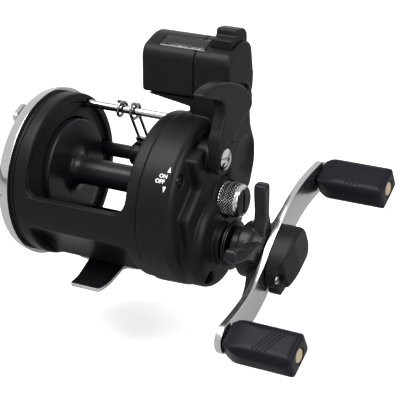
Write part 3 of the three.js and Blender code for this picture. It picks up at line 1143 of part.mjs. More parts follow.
function starDrag() {
  let body = turned([[STAR_IN, 0], [STAR_IN, STAR_NECK], [STAR_HUB_IN, STAR_NECK],
    [STAR_HUB_IN, STAR_HUB - STAR_EDGE], [STAR_HUB_IN + STAR_EDGE, STAR_HUB],
    [STAR_ARM_IN + STAR_EDGE, STAR_HUB], [STAR_OUT, STAR_HUB * 0.7], [STAR_OUT, 0]], HANDLE_AT, ROUND);
  for (let i = 0; i < STAR_ARMS; i += 1) {
    const angle = STAR_ANGLE + (i * TURN) / STAR_ARMS;
    const across = angle + Math.PI / 2;
    const side = (radius, width) => polar(polar(HANDLE_AT, radius, angle), width / 2, across);
    const far = (radius, width) => polar(polar(HANDLE_AT, radius, angle), -width / 2, across);
    const waist = STAR_ARM_WIDTH * 0.8;
    const corner = STAR_ARM_WIDTH * 0.3;
    const shape = rounded([side(0, STAR_HUB), side(STAR_HUB, STAR_HUB * 0.64),
      [...side(STAR_REACH * 0.56, waist), corner], [...side(STAR_REACH * 0.8, STAR_ARM_WIDTH), corner],
      [...side(STAR_REACH, STAR_ARM_WIDTH), corner], [...far(STAR_REACH, STAR_ARM_WIDTH), corner],
      [...far(STAR_REACH * 0.8, STAR_ARM_WIDTH), corner], [...far(STAR_REACH * 0.56, waist), corner],
      far(STAR_HUB, STAR_HUB * 0.64), far(0, STAR_HUB)]);
    body = join(body, plate(shape, STAR_ARM_IN, STAR_ARM_OUT, STAR_EDGE, 2));
  }
  return cut(body, hole(STAR_IN - OVER, STAR_OUT + OVER, DRIVE_RADIUS + RUN, HANDLE_AT, SMALL));
}

add('star_drag', 'satinBlack', starDrag());

const WASHER_RADIUS = AXLE_SPAN - CAST_RADIUS - 2 * SEAT;
add('star_spring_washer', 'steel', turned([[BOSS_FACE + SEAT, DRIVE_RADIUS + SEAT],
  [BOSS_FACE + SEAT, BUSH_RADIUS], [BOSS_FACE + STAR_GAP * 0.4, WASHER_RADIUS],
  [BOSS_FACE + STAR_GAP * 0.5, WASHER_RADIUS], [BOSS_FACE + STAR_GAP * 0.55, WASHER_RADIUS * 0.9],
  [BOSS_FACE + STAR_GAP * 0.6, WASHER_RADIUS], [BOSS_FACE + STAR_GAP * 0.7, WASHER_RADIUS],
  [STAR_IN - SEAT, BUSH_RADIUS], [STAR_IN - SEAT, DRIVE_RADIUS + SEAT]], HANDLE_AT, ROUND));

// Drive shaft: carries the gear, the star drag and the handle
const BLADE_IN = STAR_OUT + RUN * 2;
const BLADE_OUT = BLADE_IN + BLADE_THICK;
const NUT_THICK = 4.2;
const THREAD_PROUD = 1;
const SHAFT_END = BLADE_OUT + SEAT + NUT_THICK + THREAD_PROUD;

add('drive_shaft', 'steel', turned([[BRIDGE_IN - SEAT, 0], [BRIDGE_IN - SEAT, DRIVE_RADIUS * 0.6],
  [RATCHET_IN, DRIVE_RADIUS * 0.6], [RATCHET_IN, DRIVE_RADIUS],
  [SHAFT_END, DRIVE_RADIUS], [SHAFT_END, 0]], HANDLE_AT, SMALL));

// Handle: a blade with two riveted posts, its nut, and the moulded nut cover
const HANDLE_ANGLE = rad(25.6);
const ALONG = [Math.cos(HANDLE_ANGLE), Math.sin(HANDLE_ANGLE)];
const END_RADIUS = 5.6;
const POST_RADIUS_OUT = 2;
const CAP_RADIUS = 2.8;
const CAP_RECESS = 4;
const CAP_DEPTH = 2.2;
const CAP_FLANGE = 1;

const onBlade = (along, across = 0) => [HANDLE_AT[0] + along * ALONG[0] - across * ALONG[1],
  HANDLE_AT[1] + along * ALONG[1] + across * ALONG[0]];

const KNOB_START = BLADE_OUT + RUN;
const KNOB_END = KNOB_START + KNOB_LENGTH;

// The blade is flat and sweeps like an S on both sides of its middle
const sweep = (share) => BLADE_SWEEP * Math.sin(Math.PI * share);

function handleBlade() {
  const steps = 16;
  const half = BLADE_WIDTH / 2;
  const side = [];
  for (let i = 0; i <= steps; i += 1) {
    const share = (2 * i) / steps - 1;
    const slope = ((BLADE_SWEEP * Math.PI) / HANDLE_REACH) * Math.cos(Math.PI * share);
    const width = half - (half - END_RADIUS) * share ** 4;
    side.push({ share, slope, width });
  }
  const edge = (sign) => side.map(({ share, slope, width }) => {
    const [along, across] = [share * HANDLE_REACH, sweep(share)];
    const long = Math.hypot(1, slope);
    return onBlade(along - (sign * width * slope) / long, across + (sign * width) / long);
  });
  const shape = outline([...edge(1), ...edge(-1).reverse()]);
  let body = plate(shape, BLADE_IN, BLADE_OUT);
  for (const s of [-HANDLE_REACH, HANDLE_REACH]) {
    body = join(body, rod(BLADE_IN, BLADE_OUT, END_RADIUS, onBlade(s), ROUND),
      rod(BLADE_OUT - SINK, KNOB_END - CAP_DEPTH * 2, POST_RADIUS_OUT, onBlade(s), SMALL));
  }
  return cut(body, hole(BLADE_IN - OVER, BLADE_OUT + OVER, DRIVE_RADIUS + SEAT, HANDLE_AT, SMALL));
}

add('handle_blade', 'aluminium', handleBlade());

function handleNut() {
  const corners = [];
  for (let i = 0; i < 6; i += 1) {
    corners.push(polar(HANDLE_AT, DRIVE_RADIUS * 2, HANDLE_ANGLE + (i * TURN) / 6));
  }
  return cut(plate(outline(corners), BLADE_OUT + SEAT, BLADE_OUT + SEAT + NUT_THICK),
    hole(BLADE_OUT, SHAFT_END, DRIVE_RADIUS + SEAT, HANDLE_AT, SMALL));
}

add('handle_nut', 'steel', handleNut());

const NUT_COVER_HEIGHT = 7.6;
const NUT_COVER_LENGTH = 25;
const NUT_COVER_WIDTH = 17.5;
const NUT_SCREW_ALONG = -NUT_COVER_LENGTH * 0.38;
const NUT_SCREW_AT = onBlade(NUT_SCREW_ALONG, sweep(NUT_SCREW_ALONG / HANDLE_REACH));

function nutCover() {
  const base = BLADE_OUT + SEAT;
  const half = NUT_COVER_WIDTH / 2;
  const shares = [[0.44, 0.22], [0.44, -0.2], [0.34, -0.42], [0.08, -0.46], [-0.2, -0.5],
    [-0.42, -0.44], [-0.5, -0.18], [-0.42, 0.1], [-0.2, 0.32], [0.08, 0.46], [0.34, 0.44]];
  const plan = rounded(shares.map(([a, b]) =>
    [...onBlade(a * NUT_COVER_LENGTH, b * NUT_COVER_WIDTH), half / 3]));
  let body = plate(plan, base, base + NUT_COVER_HEIGHT, NUT_COVER_HEIGHT * 0.18, 3);
  body = cut(body,
    hole(base - OVER, SHAFT_END + SEAT, DRIVE_RADIUS * 2 + SEAT * 2, HANDLE_AT, ROUND),
    hole(base + NUT_COVER_HEIGHT * 0.36, base + NUT_COVER_HEIGHT + OVER, HEAD_RADIUS + SEAT * 2,
      NUT_SCREW_AT, SMALL),
    hole(base - OVER, base + NUT_COVER_HEIGHT, SCREW_RADIUS + SEAT, NUT_SCREW_AT, SMALL));
  return body;
}

add('nut_cover', 'graphite', nutCover());

function nutCoverScrew() {
  const seat = BLADE_OUT + SEAT + NUT_COVER_HEIGHT * 0.36 + SEAT;
  const head = turned([[seat, 0], [seat, HEAD_RADIUS], [seat + HEAD_HEIGHT, HEAD_RADIUS * 0.8],
    [seat + HEAD_HEIGHT, 0]], NUT_SCREW_AT, SMALL);
  return join(head,
    rod(BLADE_OUT + SEAT, seat + HEAD_HEIGHT / 2, SCREW_RADIUS, NUT_SCREW_AT, SMALL));
}

add('nut_cover_screw', 'steel', nutCoverScrew());

// Knobs: soft paddles that spin on the posts, each closed by a cap in a round recess
const KNOB_ANGLE = rad(30);

function knob(along) {
  const at = onBlade(along);
  const wide = new THREE.Vector3(0, Math.cos(KNOB_ANGLE), Math.sin(KNOB_ANGLE));
  const out = new THREE.Vector3(1, 0, 0);
  const thick = new THREE.Vector3(1, 0, 0).cross(wide);
  const place = (geometry, ...axes) => {
    const basis = new THREE.Matrix4().makeBasis(...axes);
    return solid(geometry.applyMatrix4(basis).translate(0, at[0], at[1]));
  };
  const lengthwise = (shares, half) => rounded(shares.map(([x, w, r]) =>
    [KNOB_START + x * KNOB_LENGTH, w * half, r * KNOB_LENGTH]));
  const planShares = [[0, -0.62, 0.02], [0.2, -0.98, 0.12], [0.82, -1, 0.12], [1, -0.72, 0.2],
    [1, 0.72, 0.2], [0.82, 1, 0.12], [0.2, 0.98, 0.12], [0, 0.62, 0.02]];
  const sideShares = [[0, -0.7, 0.02], [0.24, -1, 0.12], [0.88, -1, 0.12], [1, -0.82, 0.06],
    [1, 0.82, 0.06], [0.88, 1, 0.12], [0.24, 1, 0.12], [0, 0.7, 0.02]];
  const endShares = [[-1, -0.5], [-0.72, -1], [0.72, -1], [1, -0.5], [1, 0.5], [0.72, 1],
    [-0.72, 1], [-1, 0.5]];
  const plan = extrusion(lengthwise(planShares, KNOB_WIDTH / 2), KNOB_WIDTH, 0, 3);
  const side = extrusion(lengthwise(sideShares, KNOB_THICK / 2), KNOB_WIDTH * 2, 0, 3);
  const end = extrusion(rounded(endShares.map(([w, t]) =>
    [(w * KNOB_WIDTH) / 2, (t * KNOB_THICK) / 2, KNOB_THICK * 0.2])), KNOB_LENGTH * 2, 0, 3);
  const body = place(plan.translate(0, 0, -KNOB_WIDTH / 2), out, wide, thick)
    .intersect(place(side.translate(0, 0, -KNOB_WIDTH), out, thick.clone(), wide.clone().negate()))
    .intersect(place(end.translate(0, 0, KNOB_START - KNOB_LENGTH / 2), wide, thick, out));
  return cut(body, hole(KNOB_START - OVER, KNOB_END - CAP_DEPTH + OVER, POST_RADIUS_OUT + RUN, at, SMALL),
    rod(KNOB_END - CAP_DEPTH, KNOB_END + OVER, CAP_RECESS, at, ROUND));
}

function knobCap(along) {
  const at = onBlade(along);
  const start = KNOB_END - CAP_DEPTH + SEAT;
  return turned([[start, 0], [start, CAP_RECESS - SEAT], [start + CAP_FLANGE, CAP_RECESS - SEAT],
    [start + CAP_FLANGE, CAP_RADIUS], [KNOB_END - SEAT, CAP_RADIUS], [KNOB_END + SEAT, CAP_RADIUS * 0.8],
    [KNOB_END + SEAT, 0]], at, ROUND);
}

add('upper_knob', 'rubber', knob(HANDLE_REACH));
add('lower_knob', 'rubber', knob(-HANDLE_REACH));
add('upper_knob_cap', 'cream', knobCap(HANDLE_REACH));
add('lower_knob_cap', 'cream', knobCap(-HANDLE_REACH));

// Counter: left cover, tray, window, reset button, number wheels and their gear train
function counterLeftCover() {
  const shell = plate(counterSection(0), COUNTER_LEFT, COUNTER_SEAM, COUNTER_EDGE, 3);
  const square = plate(counterSection(0), COUNTER_SEAM - COUNTER_EDGE, COUNTER_SEAM, 0, 3);
  const room = plate(counterSection(COUNTER_WALL), COUNTER_LEFT + COUNTER_WALL,
    COUNTER_SEAM + OVER, 0, 3);
  return cut(join(shell, square), room, windowSeat(), windowOpening(),
    hole(COUNTER_LEFT + COUNTER_WALL * 0.4, COUNTER_LEFT + COUNTER_WALL + OVER, COUNTER_SHAFT + RUN,
      COUNTER_AT, SMALL));
}

add('counter_left_cover', 'graphite', counterLeftCover());

const TRAY_INSET = 2.6;
const TRAY_LID = 1.8;
const TRAY_RISE = 2.6;
const TRAY_EDGE = 0.5;
const TRAY_INDENT = 1;

function counterTray() {
  const top = COUNTER_BASE - SEAT;
  const left = COUNTER_LEFT + TRAY_INSET;
  const lid = COUNTER_SEAM - TRAY_LID;
  const shape = outline([[left, top], [left, top - TRAY_EDGE], [lid, COVER_RADIUS + TRAY_RISE], [lid, 0],
    [COUNTER_SEAM, 0], [COUNTER_SEAM, top]]);
  const depth = COUNTER_LENGTH * 0.8;
  const slab = extrusion(shape, depth, 0, 1);
  slab.rotateX(Math.PI / 2).translate(0, COUNTER_BACK + depth + TRAY_INDENT, 0);
  return cut(solid(slab), hole(left - OVER, COUNTER_SEAM + OVER, COVER_RADIUS + SEAT, [0, 0], FINE),
    box(left - OVER, COUNTER_SEAM + OVER, 0, COUNTER_BACK + COUNTER_LENGTH, -COVER_RADIUS,
      COVER_RADIUS * 0.6));
}

add('counter_tray', 'graphite', counterTray());
add('counter_window', 'lens', slantBox(WINDOW_LEFT, WINDOW_RIGHT, -WINDOW_DEPTH / 2, WINDOW_DEPTH / 2,
  WINDOW_THICK - SEAT, 0));
add('reset_button', 'graphite', resetButton());

const WHEEL_RADIUS = COUNTER_LENGTH * 0.348;
const WHEEL_GAP = 0.35;
const WHEELS = ['hundreds_wheel', 'tens_wheel', 'units_wheel'];
const WHEELS_LEFT = WINDOW_LEFT + WINDOW_MARGIN / 2;
const WHEELS_RIGHT = TRAIN_IN - TRAIN_CLEARANCE;
const WHEEL_PITCH = (WHEELS_RIGHT - WHEELS_LEFT) / WHEELS.length;

WHEELS.forEach((name, i) => {
  const from = WHEELS_LEFT + i * WHEEL_PITCH;
  const to = from + WHEEL_PITCH - WHEEL_GAP;
  add(name, 'nylon', cut(turned([[from, 0], [from, WHEEL_RADIUS - SEAT], [from + SEAT, WHEEL_RADIUS],
    [to - SEAT, WHEEL_RADIUS], [to, WHEEL_RADIUS - SEAT], [to, 0]], COUNTER_AT, ROUND),
  hole(from - OVER, to + OVER, COUNTER_SHAFT + SEAT, COUNTER_AT, SMALL)));
});

['counter_idler_lower', 'counter_idler_middle', 'counter_idler_upper'].forEach((name, i) =>
  add(name, 'nylon', gear(TRAIN[i + 1].teeth, TRAIN_RADII[i + 1], TRAIN[i + 1].phase, TRAIN_AT[i + 1],
    TRAIN_IN, TRAIN_OUT, PIN_RADIUS + RUN)));

function counterShaft() {
  const last = TRAIN.length - 1;
  const spur = plate(gearOutline(TRAIN[last].teeth, TRAIN_RADII[last], TRAIN[last].phase, COUNTER_AT),
    TRAIN_IN, TRAIN_OUT);
  const from = COUNTER_LEFT + COUNTER_WALL * 0.4 + SEAT;
  return join(spur, rod(from, COUNTER_RIGHT - 2 * COUNTER_WALL - SEAT, COUNTER_SHAFT, COUNTER_AT, SMALL));
}

add('counter_shaft', 'steel', counterShaft());

// Level wind: guide rod, slotted tube, crossed worm, and the carriage with its wire guide
const TUBE_BORE = 2.3;
const WORM_RADIUS = TUBE_BORE - RUN;
const WORM_GROOVE = 0.7;
const WORM_GROOVE_WIDTH = 1.5;
const WORM_PITCH = 9;
const WORM_RELIEF = 3;
const WORM_HALF = RIGHT_IN - WORM_RELIEF;
const WORM_JOURNAL = 1;
const TUBE_SLOT_HALF = 1;
const TUBE_SLOT_END = 2;

add('guide_rod', 'chrome', rod(LEFT_OUT + SEAT, RIGHT_OUT, GUIDE_ROD_RADIUS, GUIDE_AT, SMALL));

add('level_wind_tube', 'satinBlack', cut(
  tube(LEFT_OUT + SEAT, RIGHT_OUT, TUBE_RADIUS, TUBE_BORE, WORM_AT, ROUND),
  box(LEFT_IN + TUBE_SLOT_END, RIGHT_IN - TUBE_SLOT_END, WORM_Y - TUBE_SLOT_HALF, WORM_Y + TUBE_SLOT_HALF,
    WORM_Z - TUBE_RADIUS - OVER, WORM_Z)));

// The worm has a right-hand and a left-hand groove that cross twice in every turn
function wormThread() {
  const rings = 40;
  const sides = 10;
  const position = [];
  const index = [];
  const nearest = (value) => Math.abs(value - Math.round(value)) * WORM_PITCH;
  for (let i = 0; i <= rings; i += 1) {
    const x = -WORM_HALF + (2 * WORM_HALF * i) / rings;
    for (let k = 0; k < sides; k += 1) {
      const turn = k / sides;
      const gap = Math.min(nearest(x / WORM_PITCH - turn), nearest(x / WORM_PITCH + turn));
      const depth = gap < WORM_GROOVE_WIDTH / 2 ? WORM_GROOVE : 0;
      const inside = i > 0 && i < rings ? depth : WORM_GROOVE;
      const [y, z] = polar(WORM_AT, WORM_RADIUS - inside, turn * TURN);
      position.push(x, y, z);
    }
  }
  const ends = [[-WORM_HALF, 0], [WORM_HALF, rings]].map(([x, ring]) => {
    position.push(x, ...WORM_AT);
    return [position.length / 3 - 1, ring * sides];
  });
  for (let k = 0; k < sides; k += 1) {
    const next = (k + 1) % sides;
    for (let i = 0; i < rings; i += 1) {
      const [a, b] = [i * sides + k, i * sides + next];
      index.push(a, a + sides, b, b, a + sides, b + sides);
    }
    index.push(ends[0][0], k, next, ends[1][0], ends[1][1] + next, ends[1][1] + k);
  }
  const geometry = new THREE.BufferGeometry();
  geometry.setAttribute('position', new THREE.Float32BufferAttribute(position, 3));
  geometry.setIndex(index);
  return solid(geometry);
}

function wormShaft() {
  const start = NEAR_PLANE - GEAR_WIDTH;
  const core = turned([[start, 0], [start, COG_BORE], [NEAR_PLANE + SEAT, COG_BORE],
    [NEAR_PLANE + SEAT, WORM_END_RADIUS], [LEFT_OUT + SEAT, WORM_END_RADIUS],
    [LEFT_OUT + SEAT, WORM_RADIUS], [LEFT_IN + WORM_JOURNAL, WORM_RADIUS],
    [LEFT_IN + WORM_JOURNAL, WORM_END_RADIUS * 0.8],
    [RIGHT_IN - WORM_JOURNAL, WORM_END_RADIUS * 0.8], [RIGHT_IN - WORM_JOURNAL, WORM_RADIUS],
    [RIGHT_OUT - SEAT, WORM_RADIUS],
    [RIGHT_OUT - SEAT, WORM_END_RADIUS], [TRAIN_OUT, WORM_END_RADIUS], [TRAIN_OUT, 0]], WORM_AT, SMALL);
  const spur = plate(gearOutline(TRAIN[0].teeth, TRAIN_RADII[0], TRAIN[0].phase, WORM_AT),
    TRAIN_IN, TRAIN_OUT);
  return join(core, wormThread(), spur);
}

add('worm_shaft', 'steel', wormShaft());

const CARRIAGE_RADIUS = 4.6;
const CARRIAGE_HALF = 4.4;
const PAWL_WELL = 2.7;
const PAWL_STEM = 1.2;
const WELL_DROP = 9.4;
const PAWL_FLOOR = WORM_Z - WELL_DROP;
const CARRIAGE_EDGE = 0.5;
const SADDLE_RISE = 1.2;
const SADDLE_HALF = 1.6;
const SADDLE_MARGIN = 1;
const WIRE_BASE = WORM_Z + CARRIAGE_RADIUS + SADDLE_RISE;
const WIRE_RADIUS = 0.6;
const WIRE_BASE_HALF = 1;
const WIRE_BASE_THICK = 1.6;
const LOOP_RADIUS = GUIDE_ROD_RADIUS + WIRE_RADIUS + 2 * RUN;
const LOOP_SPACE = 0.5;
const LOOP_STEP = 2 * WIRE_RADIUS + LOOP_SPACE;
const LEG_HALF = 2.1;

function carriage() {
  const from = GUIDE_X - CARRIAGE_HALF;
  const to = GUIDE_X + CARRIAGE_HALF;
  const [rim, edge] = [CARRIAGE_RADIUS, CARRIAGE_EDGE];
  const body = turned([[from, 0], [from, rim - edge], [from + edge, rim], [to - edge, rim],
    [to, rim - edge], [to, 0]], WORM_AT, ROUND);
  const well = upright([[PAWL_FLOOR, 0], [PAWL_FLOOR, PAWL_WELL], [WORM_Z, PAWL_WELL], [WORM_Z, 0]],
    GUIDE_X, WORM_Y);
  const half = LEG_HALF + SADDLE_MARGIN;
  const saddle = box(GUIDE_X - half, GUIDE_X + half, WORM_Y - SADDLE_HALF, WORM_Y + SADDLE_HALF,
    WORM_Z, WIRE_BASE - SEAT);
  return cut(join(body, well, saddle), hole(from - OVER, to + OVER, TUBE_RADIUS + RUN, WORM_AT, ROUND),
    upright([[PAWL_FLOOR - OVER, 0], [PAWL_FLOOR - OVER, PAWL_STEM + SEAT], [WORM_Z, PAWL_STEM + SEAT],
      [WORM_Z, 0]], GUIDE_X, WORM_Y));
}

add('guide_carriage', 'satinBlack', carriage());

// One side of the wire guide: a full loop round the rod, then a straight leg to the base
function wireLeg(side) {
  const foot = [WORM_Y, WIRE_BASE + WIRE_BASE_THICK * 0.7];
  const reach = Math.hypot(foot[0] - GUIDE_ROD_Y, foot[1] - GUIDE_ROD_Z);
  const leave = Math.atan2(foot[1] - GUIDE_ROD_Z, foot[0] - GUIDE_ROD_Y) + Math.acos(LOOP_RADIUS / reach);
  const steps = 16;
  const sweep = TURN * 1.18;
  const x = GUIDE_X + side * LEG_HALF;
  const points = [];
  for (let i = 0; i <= steps; i += 1) {
    const share = i / steps;
    const [y, z] = polar(GUIDE_AT, LOOP_RADIUS, leave + sweep * (1 - share));
    points.push(new THREE.Vector3(x + side * LOOP_STEP * 1.18 * (1 - share), y, z));
  }
  const last = points[points.length - 1];
  const end = new THREE.Vector3(x, ...foot);
  for (const share of [0.3, 0.6, 0.9]) points.push(last.clone().lerp(end, share));
  points.push(end.clone().setZ(WIRE_BASE + WIRE_RADIUS / 2));
  const section = new THREE.Shape();
  section.absarc(0, 0, WIRE_RADIUS, 0, TURN, false);
  const geometry = new THREE.ExtrudeGeometry(section, {
    steps: 32,
    curveSegments: 3,
    bevelEnabled: false,
    extrudePath: new THREE.CatmullRomCurve3(points),
  });
  return solid(geometry);
}

const wireBase = box(GUIDE_X - LEG_HALF - WIRE_BASE_HALF, GUIDE_X + LEG_HALF + WIRE_BASE_HALF,
  WORM_Y - WIRE_BASE_HALF, WORM_Y + WIRE_BASE_HALF, WIRE_BASE, WIRE_BASE + WIRE_BASE_THICK);
add('wire_guide', 'chrome', join(wireBase, wireLeg(-1), wireLeg(1)));

const PAWL_TIP = WORM_Z - WORM_RADIUS - RUN;
const TUBE_BELOW = WORM_Z - TUBE_RADIUS - SEAT;
const CAP_TOP = PAWL_FLOOR - SEAT;
const CAP_THICK = 1.4;
const CAP_EDGE = 0.4;
add('level_wind_pawl', 'steel', upright([[PAWL_FLOOR + SEAT, 0], [PAWL_FLOOR + SEAT, PAWL_STEM],
  [TUBE_BELOW, PAWL_STEM], [TUBE_BELOW, PAWL_STEM / 2], [PAWL_TIP, PAWL_STEM / 2], [PAWL_TIP, 0]],
GUIDE_X, WORM_Y));
add('pawl_cap', 'satinBlack', upright([[CAP_TOP - CAP_THICK, 0],
  [CAP_TOP - CAP_THICK, PAWL_WELL - CAP_EDGE], [CAP_TOP - CAP_THICK + CAP_EDGE, PAWL_WELL],
  [CAP_TOP, PAWL_WELL], [CAP_TOP, 0]], GUIDE_X, WORM_Y));

export default group;
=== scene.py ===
import math

import bmesh
import bpy
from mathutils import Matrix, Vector


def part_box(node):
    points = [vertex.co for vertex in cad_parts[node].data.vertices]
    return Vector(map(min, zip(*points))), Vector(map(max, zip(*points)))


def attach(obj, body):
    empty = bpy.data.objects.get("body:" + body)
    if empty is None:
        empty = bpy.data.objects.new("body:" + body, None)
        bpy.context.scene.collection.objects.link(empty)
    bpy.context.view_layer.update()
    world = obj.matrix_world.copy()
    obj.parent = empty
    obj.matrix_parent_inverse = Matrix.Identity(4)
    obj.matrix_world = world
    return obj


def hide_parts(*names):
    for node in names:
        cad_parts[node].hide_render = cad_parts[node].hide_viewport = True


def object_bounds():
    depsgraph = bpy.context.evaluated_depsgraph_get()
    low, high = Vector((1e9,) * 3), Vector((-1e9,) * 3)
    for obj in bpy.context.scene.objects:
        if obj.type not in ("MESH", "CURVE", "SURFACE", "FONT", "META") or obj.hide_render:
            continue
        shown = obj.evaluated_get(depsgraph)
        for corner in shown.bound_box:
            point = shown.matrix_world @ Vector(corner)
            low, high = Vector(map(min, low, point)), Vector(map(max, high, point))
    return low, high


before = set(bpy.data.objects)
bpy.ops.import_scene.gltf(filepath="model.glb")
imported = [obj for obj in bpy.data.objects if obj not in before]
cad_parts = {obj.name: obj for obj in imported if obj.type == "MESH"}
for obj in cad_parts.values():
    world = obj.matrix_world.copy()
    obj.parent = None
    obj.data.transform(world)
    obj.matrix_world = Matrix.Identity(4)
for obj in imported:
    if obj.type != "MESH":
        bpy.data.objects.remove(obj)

# The whole reel: the imported frame holds every piece in its place, in metres, with the foot at the
# bottom. Its box is kept, to set the floor's height. Its plain materials are renamed, to leave the
# slots' names to the finishes made here.
cad_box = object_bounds()
for plain in bpy.data.materials:
    plain.name = "packed_" + plain.name
MM = 0.001
SEAT_TO_AXIS = 34.0


def place(x, y, z):
    """A point given in millimetres from the middle of the frame's axis."""
    return Vector((x, y, z + SEAT_TO_AXIS)) * MM


# Viewpoint: from the rear right and above, as the photograph was taken, with a long lens.
# The sensor is square like the picture.
FOCAL_PIXELS, PICTURE_PIXELS, SENSOR = 1521.14, 400, 36
STANDPOINT = (288.52, -457.48, 202.24)
LOOKING = Vector((-0.45157, 0.81586, -0.36119))


def stood(name, data):
    """Stands a camera, a lamp or a piece in the scene."""
    made = bpy.data.objects.new(name, data)
    bpy.context.scene.collection.objects.link(made)
    return made


lens = bpy.data.cameras.new("viewpoint")
lens.sensor_width = SENSOR
lens.lens = FOCAL_PIXELS * SENSOR / PICTURE_PIXELS
lens.clip_start, lens.clip_end = 0.01, 20
viewer = stood("viewpoint", lens)
viewer.location = place(*STANDPOINT)
viewer.rotation_euler = LOOKING.to_track_quat("-Z", "Y").to_euler()
bpy.context.scene.camera = viewer
bpy.context.scene.view_settings.view_transform = "Standard"


# Background: a white studio. The lens, the bright metal and the window see it at full white, and
# only part of it lights the reel.
WHITE = (1, 1, 1, 1)
SKY_SEEN, SKY_LIGHT = 1, 0.6


def adjusted(node, **inputs):
    """Sets inputs of a shading node; _ stands for the space in an input's name."""
    for name, value in inputs.items():
        node.inputs[name.replace("_", " ")].default_value = value
    return node


def added(tree, kind, **inputs):
    """A new shading node."""
    return adjusted(tree.nodes.new("ShaderNode" + kind), **inputs)


def wired(tree, *wires):
    """Leads outputs of nodes to inputs of others."""
    for one, out, two, into in wires:
        tree.links.new(one.outputs[out], two.inputs[into])


sky = bpy.data.worlds.new("studio")
bpy.context.scene.world = sky
sky.use_nodes = True
tree = sky.node_tree
tree.nodes.clear()
path, chosen, sky_out = (added(tree, kind) for kind in ("LightPath", "MixShader", "OutputWorld"))
lens_or_metal, or_window = added(tree, "Math"), added(tree, "Math")
lens_or_metal.operation = or_window.operation = "MAXIMUM"
seen = added(tree, "Background", Color=WHITE, Strength=SKY_SEEN)
lit = added(tree, "Background", Color=WHITE, Strength=SKY_LIGHT)
wired(tree, (path, "Is Camera Ray", lens_or_metal, 0), (path, "Is Glossy Ray", lens_or_metal, 1),
      (lens_or_metal, 0, or_window, 0), (path, "Is Transmission Ray", or_window, 1),
      (or_window, 0, chosen, 0), (lit, 0, chosen, 1), (seen, 0, chosen, 2),
      (chosen, 0, sky_out, "Surface"))


# Floor: a sheet of pale matt paper, far enough below the foot for the crank to turn over it. The
# lens sees it nearly white, with the reel's shadow, and little of its light goes back to the reel.
FLOOR_HALF, FLOOR_BELOW = 3, 0.026
FLOOR_SEEN, FLOOR_GLOW, FLOOR_LIGHT = (0.9, 0.9, 0.9, 1), 0.4, (0.42, 0.42, 0.42, 1)
ground = cad_box[0][2] - FLOOR_BELOW
floor_mesh = bpy.data.meshes.new("floor")
floor_mesh.from_pydata([(x * FLOOR_HALF, y * FLOOR_HALF, ground)
                        for x, y in ((-1, -1), (1, -1), (1, 1), (-1, 1))], [], [(0, 1, 2, 3)])
floor = stood("floor", floor_mesh)
paper = bpy.data.materials.new("floor_paper")
paper.use_nodes = True
tree = paper.node_tree
tree.nodes.clear()
path, to_lens, shown, floor_out = (added(tree, kind) for kind in
                                   ("LightPath", "AddShader", "MixShader", "OutputMaterial"))
glow = added(tree, "Emission", Color=WHITE, Strength=FLOOR_GLOW)
matt = added(tree, "BsdfDiffuse", Color=FLOOR_SEEN)
to_reel = added(tree, "BsdfDiffuse", Color=FLOOR_LIGHT)
wired(tree, (glow, 0, to_lens, 0), (matt, 0, to_lens, 1), (path, "Is Camera Ray", shown, 0),
      (to_reel, 0, shown, 1), (to_lens, 0, shown, 2), (shown, 0, floor_out, "Surface"))
floor_mesh.materials.append(paper)


# Lamps: two soft boxes, a broad one high above the reel at the viewer's left, and a tall one at the
# viewer's right that brightens the crank and the cover's rim.
def softbox(name, centre, aim, width, height, watts):
    """A soft rectangular lamp, placed and turned to its aim."""
    lamp = bpy.data.lights.new(name, "AREA")
    lamp.shape = "RECTANGLE"
    lamp.size, lamp.size_y, lamp.energy = width * MM, height * MM, watts
    stand = stood(name, lamp)
    stand.location = place(*centre)
    stand.rotation_euler = (place(*aim) - stand.location).to_track_quat("-Z", "Y").to_euler()


softbox("lamp_above", (-150, -250, 560), (0, 0, 10), 500, 400, 6.5)
softbox("lamp_right", (520, -120, 260), (20, 0, 10), 260, 420, 3.5)


# Frame: one moulding in black graphite plastic, two round dished flanges joined by the rear panel
# and the cradle under the spool. It is moulded in one shot, so every inside corner has a small
# round, and the skin shows a fine grain.
def polar(middle, radius, degrees):
    """A point at a distance and an angle from a middle."""
    turn = math.radians(degrees)
    return (middle[0] + radius * math.cos(turn), middle[1] + radius * math.sin(turn))


def bow(start, pull, end, steps):
    """Points along a curve from start to end, drawn aside by a third point."""
    return [tuple(start * (1 - t) ** 2 + pull * 2 * t * (1 - t) + end * t ** 2)
            for t in (k / steps for k in range(steps + 1))]


def rounded(points, steps=8):
    """An outline whose corners are rounded by the third number of each point."""
    line = []
    for i, point in enumerate(points):
        corner = Vector(point[:2])
        back = Vector(points[i - 1][:2]) - corner
        ahead = Vector(points[(i + 1) % len(points)][:2]) - corner
        trim = min(point[2] if len(point) > 2 else 0, back.length / 2, ahead.length / 2)
        if trim <= 0:
            line.append(tuple(corner))
            continue
        line += bow(corner + back.normalized() * trim, corner,
                    corner + ahead.normalized() * trim, steps)
    return line


def outwards(name, mesh, shape):
    """Turns a shape's faces outwards and stands it in the scene as a piece."""
    bmesh.ops.recalc_face_normals(shape, faces=shape.faces)
    shape.to_mesh(mesh)
    shape.free()
    return stood(name, mesh)


def made_of(name, points, faces):
    """A piece from points in millimetres, with its faces turned outwards."""
    mesh = bpy.data.meshes.new(name)
    mesh.from_pydata([place(*point) for point in points], [], faces)
    shape = bmesh.new()
    shape.from_mesh(mesh)
    bmesh.ops.remove_doubles(shape, verts=shape.verts, dist=1e-7)
    return outwards(name, mesh, shape)


